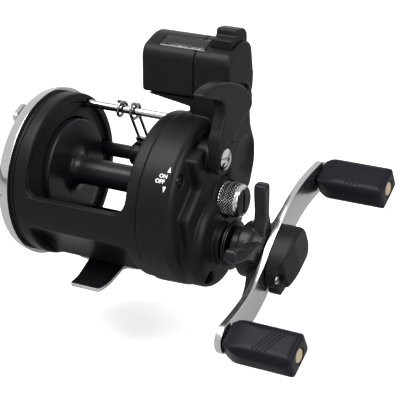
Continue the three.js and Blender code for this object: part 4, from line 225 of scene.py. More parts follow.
def turned(name, profile, at=(0, 0), steps=144, upright=False):
    """A piece turned round a line along X, or upright: profile of (along, radius)."""
    points, rings, faces = [], [], []
    for along, radius in profile:
        ring = []
        for i in range(1 if radius < 1e-6 else steps):
            turn = 2 * math.pi * i / steps
            u, v = at[0] + radius * math.cos(turn), at[1] + radius * math.sin(turn)
            ring.append(len(points))
            points.append((u, v, along) if upright else (along, u, v))
        rings.append(ring)
    pairs = list(zip(rings, rings[1:]))
    if len(rings[0]) > 1 and len(rings[-1]) > 1:
        pairs.append((rings[-1], rings[0]))
    for one, two in pairs:
        for i in range(steps):
            j = (i + 1) % steps
            if len(one) > 1 and len(two) > 1:
                faces.append((one[i], two[i], two[j], one[j]))
            elif len(two) > 1:
                faces.append((one[0], two[i], two[j]))
            elif len(one) > 1:
                faces.append((one[i], two[0], one[j]))
    return made_of(name, points, faces)


def rod(start, end, radius, at=(0, 0), steps=96, upright=False):
    """A plain round bar along X, or upright."""
    return turned("rod", [(start, 0), (start, radius), (end, radius), (end, 0)], at, steps, upright)


def between(rings, count):
    """Faces from each ring of points to the next."""
    return [(a + i, a + (i + 1) % count, a + count + (i + 1) % count, a + count + i)
            for a in range(0, (rings - 1) * count, count) for i in range(count)]


def pushed(name, outline, start, end, edge=0, steps=5, way=None, flat_back=False):
    """An outline pushed from start to end along X, or along another way, with rounded rims."""
    count = len(outline)
    corners = [Vector(p) for p in outline]
    area = sum(a.x * b.y - b.x * a.y for a, b in zip(corners, corners[1:] + corners[:1]))
    turn = 1 if area > 0 else -1
    inward = []
    for i, here in enumerate(corners):
        one = (here - corners[i - 1]).normalized()
        two = (corners[(i + 1) % count] - here).normalized()
        one, two = Vector((-one.y, one.x)) * turn, Vector((-two.y, two.x)) * turn
        mean = (one + two).normalized()
        inward.append(mean / max(0.5, mean.dot(one)))
    rise = [math.pi / 2 * k / steps for k in range(steps + 1)] if edge else [0]
    levels = [(end - edge * (1 - math.sin(a)), edge * (1 - math.cos(a))) for a in rise]
    if flat_back:
        levels = [(start, 0)] + levels
    else:
        levels = [(start + edge * (1 - math.sin(a)), edge * (1 - math.cos(a)))
                  for a in reversed(rise)] + levels
    way = way or (lambda along, y, z: (along, y, z))
    points = [way(along, *(here + inset * step))
              for along, inset in levels for here, step in zip(corners, inward)]
    faces = [tuple(range(count)), tuple(range(len(points) - 1, len(points) - 1 - count, -1))]
    return made_of(name, points, faces + between(len(levels), count))


def block(x0, x1, y0, y1, z0, z1):
    """A plain square bar, to cut a slot with."""
    return pushed("block", [(y0, z0), (y1, z0), (y1, z1), (y0, z1)], x0, x1)


def settle(made):
    """Applies what has been set on a piece."""
    shaped = made.evaluated_get(bpy.context.evaluated_depsgraph_get())
    mesh = bpy.data.meshes.new_from_object(shaped)
    made.modifiers.clear()
    made.data = mesh


def worked(made, others, how):
    """Joins others to a piece, cuts them out of it, or leaves what they share."""
    for other in others:
        step = made.modifiers.new("work", "BOOLEAN")
        step.operation = how
        step.solver = "MANIFOLD"
        step.object = other
    settle(made)
    for other in others:
        bpy.data.objects.remove(other)
    return made


def joined(made, *others):
    return worked(made, others, "UNION")


def cut(made, *others):
    return worked(made, others, "DIFFERENCE")


def shared(made, *others):
    return worked(made, others, "INTERSECT")


def softened(made, fineness, passes):
    """Melts a piece's parts into one skin, with small rounds in all its corners."""
    skin = made.modifiers.new("skin", "REMESH")
    skin.mode = "VOXEL"
    skin.voxel_size = fineness * MM
    calm = made.modifiers.new("calm", "SMOOTH")
    calm.factor, calm.iterations = 0.5, passes
    settle(made)


def new_finish(name):
    """A new material, with its nodes, its skin shader and the place of each point."""
    finish = bpy.data.materials.new(name)
    finish.use_nodes = True
    t = finish.node_tree
    return finish, t, t.nodes["Principled BSDF"], added(t, "TexCoord")


def marked(t, skin, clouds, marks, colour, spread, dullest, brightest, depth, strength):
    """Lets clouds vary a skin's tone, and fine marks its gloss and its relief."""
    tone = added(t, "Mix")
    tone.data_type = "RGBA"
    tone.inputs[6].default_value = tuple(c * (1 - spread) for c in colour) + (1,)
    tone.inputs[7].default_value = tuple(min(c * (1 + spread), 1) for c in colour) + (1,)
    dull = added(t, "MapRange", To_Min=brightest, To_Max=dullest)
    relief = added(t, "Bump", Strength=strength, Distance=depth)
    wired(t, (clouds, "Fac", tone, 0), (tone, 2, skin, "Base Color"), (marks, "Fac", dull, "Value"),
          (dull, "Result", skin, "Roughness"), (marks, "Fac", relief, "Height"),
          (relief, "Normal", skin, "Normal"))


def moulded(name, colour, roughness, grain=0.00003, grain_size=0.0009, spec=0.2, cloud=0.25):
    """Moulded or painted: a fine grain, and a faint cloudiness in tone."""
    finish, t, skin, where = new_finish(name)
    adjusted(skin, Specular_IOR_Level=spec)
    fine = added(t, "TexNoise", Scale=1 / grain_size, Detail=3)
    broad = added(t, "TexNoise", Scale=90, Detail=4)
    wired(t, (where, "Object", fine, "Vector"), (where, "Object", broad, "Vector"))
    marked(t, skin, broad, fine, colour, cloud, roughness * 1.2, roughness * 0.85, grain, 0.6)
    return finish


def fitted(made, name, finish, body, stands_for=(), crease=None, slot=None):
    """Gives a piece its finish and name, and fixes it to the body that carries it."""
    made.name = name
    made.data.name = name
    made.data.materials.clear()
    made.data.materials.append(finish)
    for face in made.data.polygons:
        face.use_smooth = True
    if crease:
        made.data.set_sharp_from_angle(angle=math.radians(crease))
    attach(made, body)
    slot or finish.name
    if stands_for:
        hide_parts(*stands_for)


graphite = moulded("graphite", (0.006, 0.006, 0.007), 0.36, spec=0.09)
FRAME_RADIUS, FLANGE_IN, FLANGE_OUT = 31.3, 21.5, 26.5
DISH_RADIUS, DISH_FLOOR, FLANGE_LIP = 28.3, 23.2, 20.5
SPOOL_AT, SPOOL_BORE = (0, 2.5), 19.8
GUIDE_AT, GUIDE_BORE = (13.21, 24.79), 1.8
WORM_AT, WORM_BORE = (24.6, 3), 3.1
CRADLE_FLOOR, CRADLE_FLAT, CRADLE_FRONT, CRADLE_INSIDE = -28.2, 11.27, 310, 23.5
PANEL_TOP, PANEL_OUT, PANEL_IN, PANEL_INSIDE = 0.85, -31, -27.8, 27.54
PANEL_FILLETS = {-1: 4.4, 1: 6.4}


def arc(radius, start, turn, steps, middle=(0, 0)):
    """Points along an arc, from an angle on through a turn."""
    return [polar(middle, radius, start + turn * k / steps) for k in range(steps + 1)]


# Panel and cradle in section: down the back, under the spool, and back up inside.
cradle = arc(FRAME_RADIUS, 178.5, 23.5, 16)
cradle += bow(Vector(cradle[-1]), Vector(polar((0, 0), FRAME_RADIUS * 0.79, 226)),
              Vector((-CRADLE_FLAT, CRADLE_FLOOR)), 16)[1:]
cradle += [(CRADLE_FLAT, CRADLE_FLOOR), polar((0, 0), FRAME_RADIUS * 0.93, CRADLE_FRONT)]
cradle += arc(CRADLE_INSIDE, CRADLE_FRONT, -102, 40)
cradle += arc(PANEL_INSIDE, 199, -20.5, 12)
frame_body = pushed("cradle", cradle, -24.5, 24.5)
for side in (-1, 1):
    profile = rounded([(side * FLANGE_OUT, 0), (side * FLANGE_OUT, FRAME_RADIUS, 0.25),
                       (side * FLANGE_IN, FRAME_RADIUS, 0.8), (side * FLANGE_IN, DISH_RADIUS, 0.4),
                       (side * DISH_FLOOR, 27.3, 0.9), (side * FLANGE_LIP, SPOOL_BORE),
                       (side * FLANGE_LIP, 0)])
    joined(frame_body, turned("flange", profile, steps=192))
    fillet = PANEL_FILLETS[side]
    middle = (side * (FLANGE_IN - fillet), PANEL_TOP + fillet)
    web = [(side * (FLANGE_IN + 1), 0.2), (middle[0], 0.2)]
    web += arc(fillet, -90, side * 90, 12, middle) + [(side * (FLANGE_IN + 1), middle[1])]
    web = pushed("web", web, PANEL_OUT, PANEL_IN, way=lambda y, x, z: (x, y, z))
    joined(frame_body, shared(web, rod(-24, 24, FRAME_RADIUS - 0.1, steps=192)))
    near, far = sorted((side * (FLANGE_IN - 3), side * (FLANGE_OUT + 1)))
    cut(frame_body, rod(near, far, SPOOL_BORE, SPOOL_AT, 192),
        rod(near, far, GUIDE_BORE, GUIDE_AT), rod(near, far, WORM_BORE, WORM_AT))
softened(frame_body, 0.4, 4)
fitted(frame_body, "frame_moulding", graphite, "housing", ["frame"])


# Foot: a steel plate, blanked, bent up in the middle to clear the heads of its two rivets, and
# painted black, worn bare along its edges. Its two wings slide under the rod seat's hoods.
black_metal = moulded("satin_black_metal", (0.007, 0.007, 0.009), 0.28, grain=0.00001, spec=0.16)
FOOT_HALF, FOOT_THICK, FOOT_TOP, FOOT_WING = 25.5, 1.5, -28.5, -32.5
WING_FROM, SADDLE_HALF, FOOT_BEND = 19.5, 9, 3
foot_line = rounded([(-FOOT_HALF, FOOT_WING), (-WING_FROM, FOOT_WING, FOOT_BEND),
                     (-SADDLE_HALF, FOOT_TOP, FOOT_BEND), (SADDLE_HALF, FOOT_TOP, FOOT_BEND),
                     (WING_FROM, FOOT_WING, FOOT_BEND), (FOOT_HALF, FOOT_WING)], 6)
foot_line += [(y, z - FOOT_THICK) for y, z in reversed(foot_line)]
foot_bar = pushed("foot", foot_line, -15, 15)
foot_plan = [(6.4, FOOT_HALF, 1.6), (7.85, 9, 1.6), (14, 8, 1.6)]
foot_plan += [(x, -y, r) for x, y, r in reversed(foot_plan)]
foot_plan += [(-x, y, r) for x, y, r in reversed(foot_plan)]
shared(foot_bar, pushed("plan", rounded(foot_plan), -35, -28, way=lambda z, x, y: (x, y, z)))
RIVET_X = 10
for x in (-RIVET_X, RIVET_X):
    rivet = rounded([(-31.5, 0), (-31.5, 1.5, 0.5), (-30.6, 2.1, 0.4), (-29.25, 2.1), (-29.25, 1.1),
                     (-27.2, 1.1), (-27.2, 0)])
    joined(foot_bar, turned("rivet", rivet, (x, 0), 48, upright=True))
softened(foot_bar, 0.22, 2)
fitted(foot_bar, "foot_plate", black_metal, "housing", ["foot"])
bare_edge = moulded("bare_edge", (0.32, 0.32, 0.31), 0.4, grain=0.00001, spec=0.5)
foot_bar.data.materials.append(bare_edge)
for face in foot_bar.data.polygons:
    x, y = abs(face.center.x) / MM, abs(face.center.y) / MM
    upright, on_rivet = abs(face.normal.z) < 0.5, math.hypot(x - RIVET_X, y) <= 3
    face.material_index = 1 if upright and not on_rivet else 0


# Left side plate: a graphite dish over the level wind gears, held by three slotted screws from
# outside, with a hub over the spool's bearing and a slot for the clicker.
PLATE_IN, PLATE_FACE, PLATE_TOP, PLATE_RADIUS = -26.8, -32.6, -33.1, 31.0
left_plate = turned("left_plate", rounded([
    (PLATE_IN, 0), (PLATE_IN, PLATE_RADIUS), (PLATE_FACE + 0.8, PLATE_RADIUS, 0.6),
    (PLATE_FACE, 29.4, 0.8), (-32.85, 24, 0.3), (-32.55, 23.6, 0.3), (-32.6, 22.6, 0.3),
    (-32.95, 22.2, 0.3), (PLATE_TOP, 18.6, 2), (PLATE_TOP, 0)]), steps=192)
joined(left_plate, turned("hub", rounded([
    (-31.6, 0), (-31.6, 10), (-33.4, 9.4, 1), (-35.2, 7.2, 0.8), (-35.2, 5.2, 0.3),
    (-34.8, 4.8, 0.3), (-34.8, 0)]), SPOOL_AT))
cut(left_plate, rod(-31, PLATE_IN + 1, 29.9, steps=192), rod(-33.4, PLATE_IN, 4.3, SPOOL_AT))
PLATE_SCREWS = [polar((0, 0), 26.9, angle) for angle in (85, 205, 325)]
for at in PLATE_SCREWS:
    joined(left_plate, shared(rod(-32, PLATE_IN, 3.1, at), rod(-32, PLATE_IN, 30.4, steps=192)))
    cut(left_plate, rod(-34, -25.8, 1.4, at), rod(-34, -31.1, 2.4, at))
CLICKER_TURN = 116
CLICKER_AT = polar((0, 0), 25.6, CLICKER_TURN)


def clicker_oblong(length, width, shift, start, end, edge, outwards=0):
    """A rounded bar where the clicker and its slot are."""
    outline = []
    for along, across in ((-1, -1), (-1, 1), (1, 1), (1, -1)):
        at = polar(CLICKER_AT, across * width / 2 + outwards, CLICKER_TURN)
        outline.append((*polar(at, along * length / 2 + shift, CLICKER_TURN + 90), width * 0.3))
    return pushed("clicker", rounded(outline), start, end, edge)


cut(left_plate, clicker_oblong(6.8, 3.3, 1.75, -34.1, PLATE_IN, 0))
softened(left_plate, 0.35, 3)
fitted(left_plate, "left_plate_moulding", graphite, "housing", ["left_side_plate"])


def slotted_screw(name, at, head, shank_end, body, node, finish=None):
    """A turned steel screw: profile of its head, a slot across it, and its shank."""
    slot_deep, slot_half, shank = 0.5, 0.3, 1.1
    screw = turned(name, rounded(head), at, 64)
    top = max(head, key=lambda p: abs(p[0] - shank_end))[0]
    way = 1 if top > shank_end else -1
    near, far = sorted((top - way * slot_deep, top + way))
    cut(screw, block(near, far, at[0] - 2.5, at[0] + 2.5, at[1] - slot_half, at[1] + slot_half))
    near, far = sorted((head[0][0] + way * 0.2, shank_end))
    joined(screw, rod(near, far, shank, at, 32))
    fitted(screw, name, finish or steel, body, [node], crease=35)


def metal(name, colour, roughness, scratch=0.00001, stretch=(1, 1, 1), size=0.0006, tint=0.1):
    """Bare metal: fine marks that can run one way, and vary its gloss."""
    finish, t, skin, where = new_finish(name)
    adjusted(skin, Metallic=1)
    run = added(t, "Mapping", Scale=stretch)
    fine = added(t, "TexNoise", Scale=1 / size, Detail=4)
    wired(t, (where, "Object", run, "Vector"), (run, "Vector", fine, "Vector"))
    marked(t, skin, fine, fine, colour, tint, roughness * 1.25, roughness * 0.75, scratch, 0.5)
    return finish


steel = metal("steel", (0.4, 0.4, 0.41), 0.3)
for number, at in enumerate(PLATE_SCREWS, 1):
    slotted_screw(f"plate_screw_{number}_turned", at,
                  [(-31.4, 0), (-31.4, 2.1), (-32.1, 2.1, 0.3), (-32.6, 1.7, 0.3), (-32.6, 0)],
                  -24.5, "housing", f"plate_screw_{number}")


# Left trim ring: a bright ring rolled from strip and clipped over the plate's rim, with its split
# at the rear. Its outside slopes in towards the face.
chrome = metal("chrome_trim", (0.5, 0.5, 0.51), 0.1, scratch=0.000003)
RING_IN = 31.3
ring = turned("ring", rounded([
    (-28.3, RING_IN), (-28.3, 32.6, 0.25), (-31.1, 32.3, 1), (-32.9, 31.6, 0.6), (-33.5, 30.7, 0.4),
    (-33.5, 29.4, 0.15), (-32.95, 29.4), (-32.9, 30.34), (-31.94, RING_IN)]), steps=256)
cut(ring, block(-34.5, -31.1, -33.6, -31.1, -0.3, 0.3))
fitted(ring, "trim_ring_rolled", chrome, "housing", ["left_trim_ring"], crease=35)


# Clicker: a small plated plastic button on a stem that slides in the plate's slot, held by a wider
# foot inside. Three grooves across its top give the thumb a hold.
CLICKER_OUTWARDS = 2.2
clicker = joined(clicker_oblong(8, 6.4, 0, -36.2, -34.05, 0.7, CLICKER_OUTWARDS),
                 clicker_oblong(2.6, 2.6, 0, -35.05, -30.15, 0),
                 clicker_oblong(4.4, 4.4, 0, -30.65, -29.65, 0))
for shift in (-2, 0, 2):
    cut(clicker, clicker_oblong(0.7, 8, shift, -37.5, -35.8, 0, CLICKER_OUTWARDS))
softened(clicker, 0.2, 2)
fitted(clicker, "clicker_slide", chrome, "clicker", ["clicker_button"])


# Spool: turned from aluminium bar and blacked, with a slim arbor that flares into both flanges.
# The flanges turn inside the frame's bores and are dished outside, round the bearings.
spool_half = [(0, 5.2), (15.26, 5.2, 2), (17.81, 6.11, 2), (18.9, 8.84, 2), (18.9, 18.8, 0.3),
              (19.4, 19.3, 0.3), (22.8, 19.3, 0.5), (23.3, 18.8, 0.5), (23.3, 17.2, 0.4),
              (20.38, 15.8, 0.8), (20.38, 5.6, 0.6), (23.3, 5.2, 0.3), (23.3, 2.2)]
other_half = [(-x, *rest) for x, *rest in reversed(spool_half[1:])]
spool = turned("spool", rounded(other_half + spool_half), SPOOL_AT, 192)
fitted(spool, "spool_turned", black_metal, "spool", ["spool"], crease=35)


# Guide rod and wire guide: a plated rod between the flanges, and one bright wire bent to a full
# loop round it on each side, with both feet clamped in the carriage's base.
ROD_LEFT, ROD_RIGHT, ROD_RADIUS = -26.2, 26.5, 1.5
guide = rounded([(ROD_LEFT, 0), (ROD_LEFT, ROD_RADIUS, 0.2), (ROD_RIGHT, ROD_RADIUS, 0.2),
                 (ROD_RIGHT, 0)])
fitted(turned("rod", guide, GUIDE_AT, 64), "guide_rod_ground", chrome, "housing", ["guide_rod"],
       crease=35)
GUIDE_X, LEG_HALF, WIRE_RADIUS, LOOP_RADIUS, LOOP_TURN = -3.4, 2.1, 0.6, 2.8, 425
WIRE_FOOT = (WORM_AT[0], 9.92)


def wire_leg(side):
    """One half of the wire: a loop round the rod, then straight down to its foot."""
    reach = math.dist(WIRE_FOOT, GUIDE_AT)
    leave = math.degrees(math.atan2(WIRE_FOOT[1] - GUIDE_AT[1], WIRE_FOOT[0] - GUIDE_AT[0])
                         + math.acos(LOOP_RADIUS / reach))
    line = []
    for i in range(49):
        share = i / 48
        y, z = polar(GUIDE_AT, LOOP_RADIUS, leave + LOOP_TURN * (1 - share))
        line.append(Vector((GUIDE_X + side * (LEG_HALF + 2 * (1 - share)), y, z)))
    last, foot = line[-1], Vector((GUIDE_X + side * LEG_HALF, *WIRE_FOOT))
    line += [last.lerp(foot, k / 8) for k in range(1, 9)] + [foot + Vector((0, 0, -0.8))]
    points, sides = [], 16
    out = Vector((1, 0, 0))
    for i, here in enumerate(line):
        along = (line[min(i + 1, len(line) - 1)] - line[max(i - 1, 0)]).normalized()
        across = along.cross(out).normalized()
        up = across.cross(along)
        for k in range(sides):
            turn = 2 * math.pi * k / sides
            points.append(here + (across * math.cos(turn) + up * math.sin(turn)) * WIRE_RADIUS)
    ends = [tuple(range(sides)), tuple(range(len(points) - 1, len(points) - 1 - sides, -1))]
    return made_of("wire_leg", points, between(len(line), sides) + ends)


clamp = rounded([(23.6, 8.8, 0.3), (25.6, 8.8, 0.3), (25.6, 10.4, 0.3), (23.6, 10.4, 0.3)])
wire = joined(pushed("base", clamp, -6.5, -0.3, 0.3), wire_leg(-1), wire_leg(1))
bent_wire = metal("bent_wire", (0.24, 0.24, 0.25), 0.16, scratch=0.000003)
fitted(wire, "wire_guide_bent", bent_wire, "line_guide", ["wire_guide"], crease=35,
       slot="chrome_trim")


# Level wind tube and carriage: a black tube slotted along its underside, and the sleeve that slides
# on it with a well for the pawl, closed by a small cap.
TUBE_INSIDE, TUBE_OUTSIDE, SLOT_REACH, SLOT_HALF = 2.3, 2.8, 19.5, 1
tube = turned("tube", [(ROD_LEFT, TUBE_INSIDE), (ROD_LEFT, TUBE_OUTSIDE),
                       (ROD_RIGHT, TUBE_OUTSIDE), (ROD_RIGHT, TUBE_INSIDE)], WORM_AT, 96)
cut(tube, block(-SLOT_REACH, SLOT_REACH, WORM_AT[0] - SLOT_HALF, WORM_AT[0] + SLOT_HALF, -1,
                WORM_AT[1]))
fitted(tube, "level_wind_tube_slotted", black_metal, "housing", ["level_wind_tube"], crease=35)
PAWL_AT = (GUIDE_X, WORM_AT[0])
sleeve = rounded([(-7.8, 0), (-7.8, 4.6, 0.8), (-6.6, 4.6, 0.2), (-6.4, 4.2, 0.2), (-0.4, 4.2, 0.2),
                  (-0.2, 4.6, 0.2), (1, 4.6, 0.8), (1, 0)])
carriage = joined(turned("sleeve", sleeve, WORM_AT), rod(-6.4, 3, 2.7, PAWL_AT, 64, upright=True),
                  block(-6.5, -0.3, 23, 26.2, 3, 8.5))
cut(carriage, rod(-9, 2, 3.15, WORM_AT), rod(-7.4, 3, 1.5, PAWL_AT, 48, upright=True))
softened(carriage, 0.22, 2)
fitted(carriage, "carriage_sleeve", black_metal, "line_guide", ["guide_carriage"])
cap = turned("cap", rounded([(-8.1, 0), (-8.1, 2.7, 0.5), (-6.7, 2.7), (-6.7, 0)]), PAWL_AT, 64,
             upright=True)
cut(cap, block(PAWL_AT[0] - 1.8, PAWL_AT[0] + 1.8, PAWL_AT[1] - 0.35, PAWL_AT[1] + 0.35, -9, -7.6))
fitted(cap, "pawl_cap_slotted", black_metal, "line_guide", ["pawl_cap"], crease=35)


# Bearings, shafts and gears: steel shafts in ball bearings, brass main gear and pinion, white nylon
# level wind and counter gears, and a fibre drag washer. They are seen only in slots and gaps.
def finish_nodes(finish, *names):
    """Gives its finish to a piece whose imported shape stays."""
    for name in names:
        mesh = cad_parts[name].data
        mesh.materials.clear()
        mesh.materials.append(finish)


finish_nodes(steel, "spool_shaft", "spool_bearing_left", "spool_bearing_right", "gear_bridge_plate",
             "ratchet_wheel", "ratchet_pawl", "drag_pressure_plate", "clutch_cam", "handle_nut",
             "counter_shaft", "worm_shaft", "level_wind_pawl")
brass = metal("brass", (0.6, 0.43, 0.18), 0.3)
finish_nodes(brass, "main_gear", "pinion")
fibre = moulded("drag_fibre", (0.03, 0.03, 0.03), 0.8)
finish_nodes(fibre, "drag_washer")
nylon = moulded("white_nylon", (0.75, 0.75, 0.72), 0.45, grain=0.00001, spec=0.4, cloud=0.03)
finish_nodes(nylon, "idler_gear", "worm_cog", "clutch_yoke", "counter_idler_lower",
             "counter_idler_middle", "counter_idler_upper")


# Right side cover: one graphite moulding over the gears, with the round gearcase, the platform
# behind the clutch lever, the spine and neck that carry the counter, and the counter's right half.
# Three blackened screws in deep counterbores hold it to the frame.
HANDLE_AT, LEVER_AT, COUNTER_AT = (-5.6, -12.7), (-7.6, 20.48), (11.0, 47.0)
COVER_RADIUS, COVER_START, COVER_INSIDE, COVER_FACE = 32.0, 26.8, 38.0, 40.2
GEARCASE_RADIUS, GEARCASE_FACE, BOSS_FACE, PLATFORM_FACE = 17.3, 47.5, 50.2, 44.5
KNOB_SEAT_FACE, KNOB_SEAT_RADIUS = 45.5, 4.6
SEAM, COUNTER_RIGHT, COUNTER_EDGE = 32.0, 46.6, 1.18
COUNTER_REAR, COUNTER_FOOT, COUNTER_DEEP, COUNTER_HIGH = 0.4, 38, 20.4, 20.48
COUNTER_WALL, ROOM_END, AXLE_HOLE = 1.7, 37.9, 1.45
SLANT, SLANT_AT = 0.3463, (6.214, 57.046)
SPINE_DEEP, SPINE_HIGH, LEVER_LENGTH = 20.8, 46.19, 29.5


def quarter(face, rim, radius):
    """A rounded edge in a turned profile, from its rim to its face."""
    return [(face - radius + radius * math.sin(a), rim - radius + radius * math.cos(a))
            for a in (math.pi / 2 * k / 12 for k in range(13))]


def through(points, steps, closed=False):
    """A smooth line through the points."""
    count, line = len(points), []
    for i in range(count if closed else count - 1):
        near = [i + k for k in (-1, 0, 1, 2)]
        at = [points[n % count if closed else min(max(n, 0), count - 1)] for n in near]
        for k in range(steps):
            t = k / steps
            line.append(tuple(
                0.5 * (2 * b + (c - a) * t + (2 * a - 5 * b + 4 * c - d) * t * t
                       + (3 * b - a - 3 * c + d) * t ** 3) for a, b, c, d in zip(*at)))
    return line if closed else line + [points[-1]]


def by_lever(shares):
    """Points given from the clutch lever's hub, in lengths of the lever."""
    return [(LEVER_AT[0] + a * LEVER_LENGTH, LEVER_AT[1] + b * LEVER_LENGTH) for a, b in shares]


def counter_section(inset=0):
    """The counter's housing from the side, or the room inside its wall."""
    shares = [(0, 0, 0.08), (0, 0.72, 0.1), (0.09, 0.86, 0.12), (0.48, 1, 0.14), (0.74, 0.99, 0.14),
              (0.9, 0.88, 0.1), (1, 0.28, 0.1), (0.96, 0, 0.1)]
    deep, high = 1 - 2 * inset / COUNTER_DEEP, 1 - 2 * inset / COUNTER_HIGH
    return rounded([(COUNTER_REAR + COUNTER_DEEP * (0.5 + (y - 0.5) * deep),
                     COUNTER_FOOT + COUNTER_HIGH * (0.45 + (z - 0.45) * high), r * COUNTER_HIGH)
                    for y, z, r in shares])


def slant_box(x0, x1, along0, along1, down, up):
    """A box on the counter's slanting back."""
    c, s = math.cos(SLANT), math.sin(SLANT)
    corners = ((along0, -down), (along1, -down), (along1, up), (along0, up))
    return pushed("slant", [(SLANT_AT[0] + a * c - h * s, SLANT_AT[1] + a * s + h * c)
                            for a, h in corners], x0, x1)


def window_slots():
    """The seat of the window's pane, and the opening under it."""
    return slant_box(16.7, 35.5, -3.4, 3.4, 1.2, 1), slant_box(17.8, 34.4, -2.3, 2.3, 4.8, 1)


cover_half = [(COVER_START, 0), (COVER_START, COVER_RADIUS - 0.2),
              (COVER_START + 0.2, COVER_RADIUS)] + quarter(COVER_FACE, 31.7, 3.4)
cover = turned("cover", cover_half + [(COVER_FACE, 0)], steps=256)
gearcase = [(COVER_INSIDE, 0), (COVER_INSIDE, GEARCASE_RADIUS)]
gearcase += quarter(GEARCASE_FACE, GEARCASE_RADIUS, 4) + [(GEARCASE_FACE, 0)]
platform = [(-0.6, -0.62, 0.1), (-0.8, 0.04, 0.05), (-0.48, 0.34, 0.05), (-0.6, 0.68, 0.04),
            (-0.4, 0.76, 0.1), (0.1, 0.84, 0.1), (0.62, 0.6, 0.1), (0.68, 0.2, 0.1),
            (0.56, -0.4, 0.2)]
spine = [(0.1, 0.02, 0.06), (0.06, 0.46, 0.1), (0.3, 0.66, 0.1), (0.2, 0.8, 0.1), (0.1, 1, 0),
         (1.01, 1, 0), (0.86, 0.6, 0.14), (1.1, 0.38, 0.1), (1.1, 0.24, 0.1), (0.88, 0, 0.08)]
spine = rounded([(y * SPINE_DEEP, z * SPINE_HIGH, r * SPINE_HIGH) for y, z, r in spine])
ridge = through(by_lever([(0.24, 0.06), (0.3, 0.24), (0.5, 0.4), (0.72, 0.56), (0.66, 0.78)]), 8)
ridge += [(y + 3, z - 1) for y, z in reversed(ridge)]
neck = rounded([(0.4, 21.2), (0.4, 39), (19.98, 39), (17.54, 32, 1.7), (18.76, 21.2)])
boss = rounded([(COVER_INSIDE, 0), (COVER_INSIDE, 8), (BOSS_FACE, 8, 1), (BOSS_FACE, 0)])
joined(cover,
       turned("gearcase", gearcase, HANDLE_AT, 192),
       pushed("platform", rounded([tuple(v * COVER_RADIUS for v in p) for p in platform]),
              COVER_INSIDE, PLATFORM_FACE, 0.9, flat_back=True),
       pushed("spine", spine, COVER_INSIDE, COUNTER_RIGHT, 1.3, flat_back=True),
       pushed("ridge", ridge, COVER_INSIDE, COUNTER_RIGHT + 1.6, 0.9, flat_back=True),
       pushed("neck", neck, SEAM + 0.3, 45.3),
       pushed("counter_right", counter_section(), SEAM + 0.3, COUNTER_RIGHT, COUNTER_EDGE,
              flat_back=True),
       turned("boss", boss, HANDLE_AT),
       rod(COVER_INSIDE, 46.9, 5.6, LEVER_AT), rod(COVER_INSIDE, KNOB_SEAT_FACE, 7.3, SPOOL_AT),
       rod(COVER_INSIDE, 49.0, KNOB_SEAT_RADIUS, SPOOL_AT))
hollow = rounded([(44.9, 0), (44.9, 4.5, 3), (46.7, 8.4, 1), (48.5, 8.6), (48.5, 0)])
cut(cover, turned("hollow", hollow, (14.6, 14.2), 96))
# Where each screw is, where the column round it starts, and where its shank ends.
COVER_SCREWS = [(polar((0, 0), 27.4, angle), column, shank_end) for angle, column, shank_end in
                ((146, COVER_START, 24.5), (239, 35.4, 33.8), (342, COVER_START, 24.5))]
cavity = rod(COVER_START - 1, COVER_INSIDE, 29.8, steps=192)
for at, column, _ in COVER_SCREWS:
    cut(cavity, rod(column, COVER_INSIDE + 1, 3.1, at))
train_slot = [(1.624, 19.2), (17.536, 19.2), (17.536, 28.16), (16.21, 32), (17.332, 35.2),
              (17.332, 40.7), (1.624, 40.7)]
knob_room = cut(rod(KNOB_SEAT_FACE, 49.2, 7.1, SPOOL_AT), rod(45, 50, KNOB_SEAT_RADIUS, SPOOL_AT))
cut(cover, cavity, pushed("slot", train_slot, SEAM - 1, ROOM_END),
    pushed("room", counter_section(COUNTER_WALL), SEAM - 1, ROOM_END), *window_slots(),
    block(36.3, 45.3, 5.4, 18.24, 53.16, 63.58), knob_room, rod(37, 43.8, 4.3, SPOOL_AT),
    rod(COVER_INSIDE, 50, 2.25, SPOOL_AT), rod(37, 51.2, 5.3, HANDLE_AT),
    rod(37, 47.9, 2.15, LEVER_AT), rod(36.9, 43.2, AXLE_HOLE, COUNTER_AT))
for name in ("counter_idler_lower", "counter_idler_middle", "counter_idler_upper"):
    low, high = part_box(name)
    middle = (low + high) / 2 / MM
    joined(cover, rod(35.1, COVER_INSIDE + 1, 1, (middle.y, middle.z - SEAT_TO_AXIS), 48))
for at, *_ in COVER_SCREWS:
    cut(cover, rod(COVER_START - 1, COVER_FACE + 1, 1.4, at),
        rod(COVER_FACE - 2.4, GEARCASE_FACE, 2.4, at))
softened(cover, 0.32, 5)
fitted(cover, "cover_moulding", graphite, "housing", ["right_side_cover"])
for number, (at, _, shank_end) in enumerate(COVER_SCREWS, 1):
    slotted_screw(f"cover_screw_{number}_turned", at,
                  [(38.1, 0), (38.1, 2.1), (39.3, 2.1, 0.3), (39.8, 1.5, 0.3), (39.8, 0)],
                  shank_end, "housing", f"cover_screw_{number}", black_metal)


# Lever marks: ON and OFF with an arrow each, printed in white ink on the cover's rim. They show
# which way the clutch lever is pushed. The ink is a thin skin that follows the rim.
white_ink = moulded("white_ink", (0.8, 0.8, 0.8), 0.6, grain=0.000002, spec=0.3, cloud=0.02)
RIM_RADIUS, RIM_END, RIM_TAPER, INK_RADIUS = 31.8, 36.8, 0.03, 31.72


def lettering(text, size, bend, name, thick=0.12):
    """Printed letters, each point of them moved on to the surface by bend."""
    drawn = bpy.data.curves.new(name, "FONT")
    drawn.body, drawn.size, drawn.extrude = text, size, thick / 2
    drawn.align_x = drawn.align_y = "CENTER"
    drawn.offset, drawn.resolution_u = size * 0.012, 4
    written = stood(name, drawn)
    solid = written.evaluated_get(bpy.context.evaluated_depsgraph_get())
    mesh = bpy.data.meshes.new_from_object(solid)
    bpy.data.objects.remove(written)
    return on_surface(mesh, bend, name)


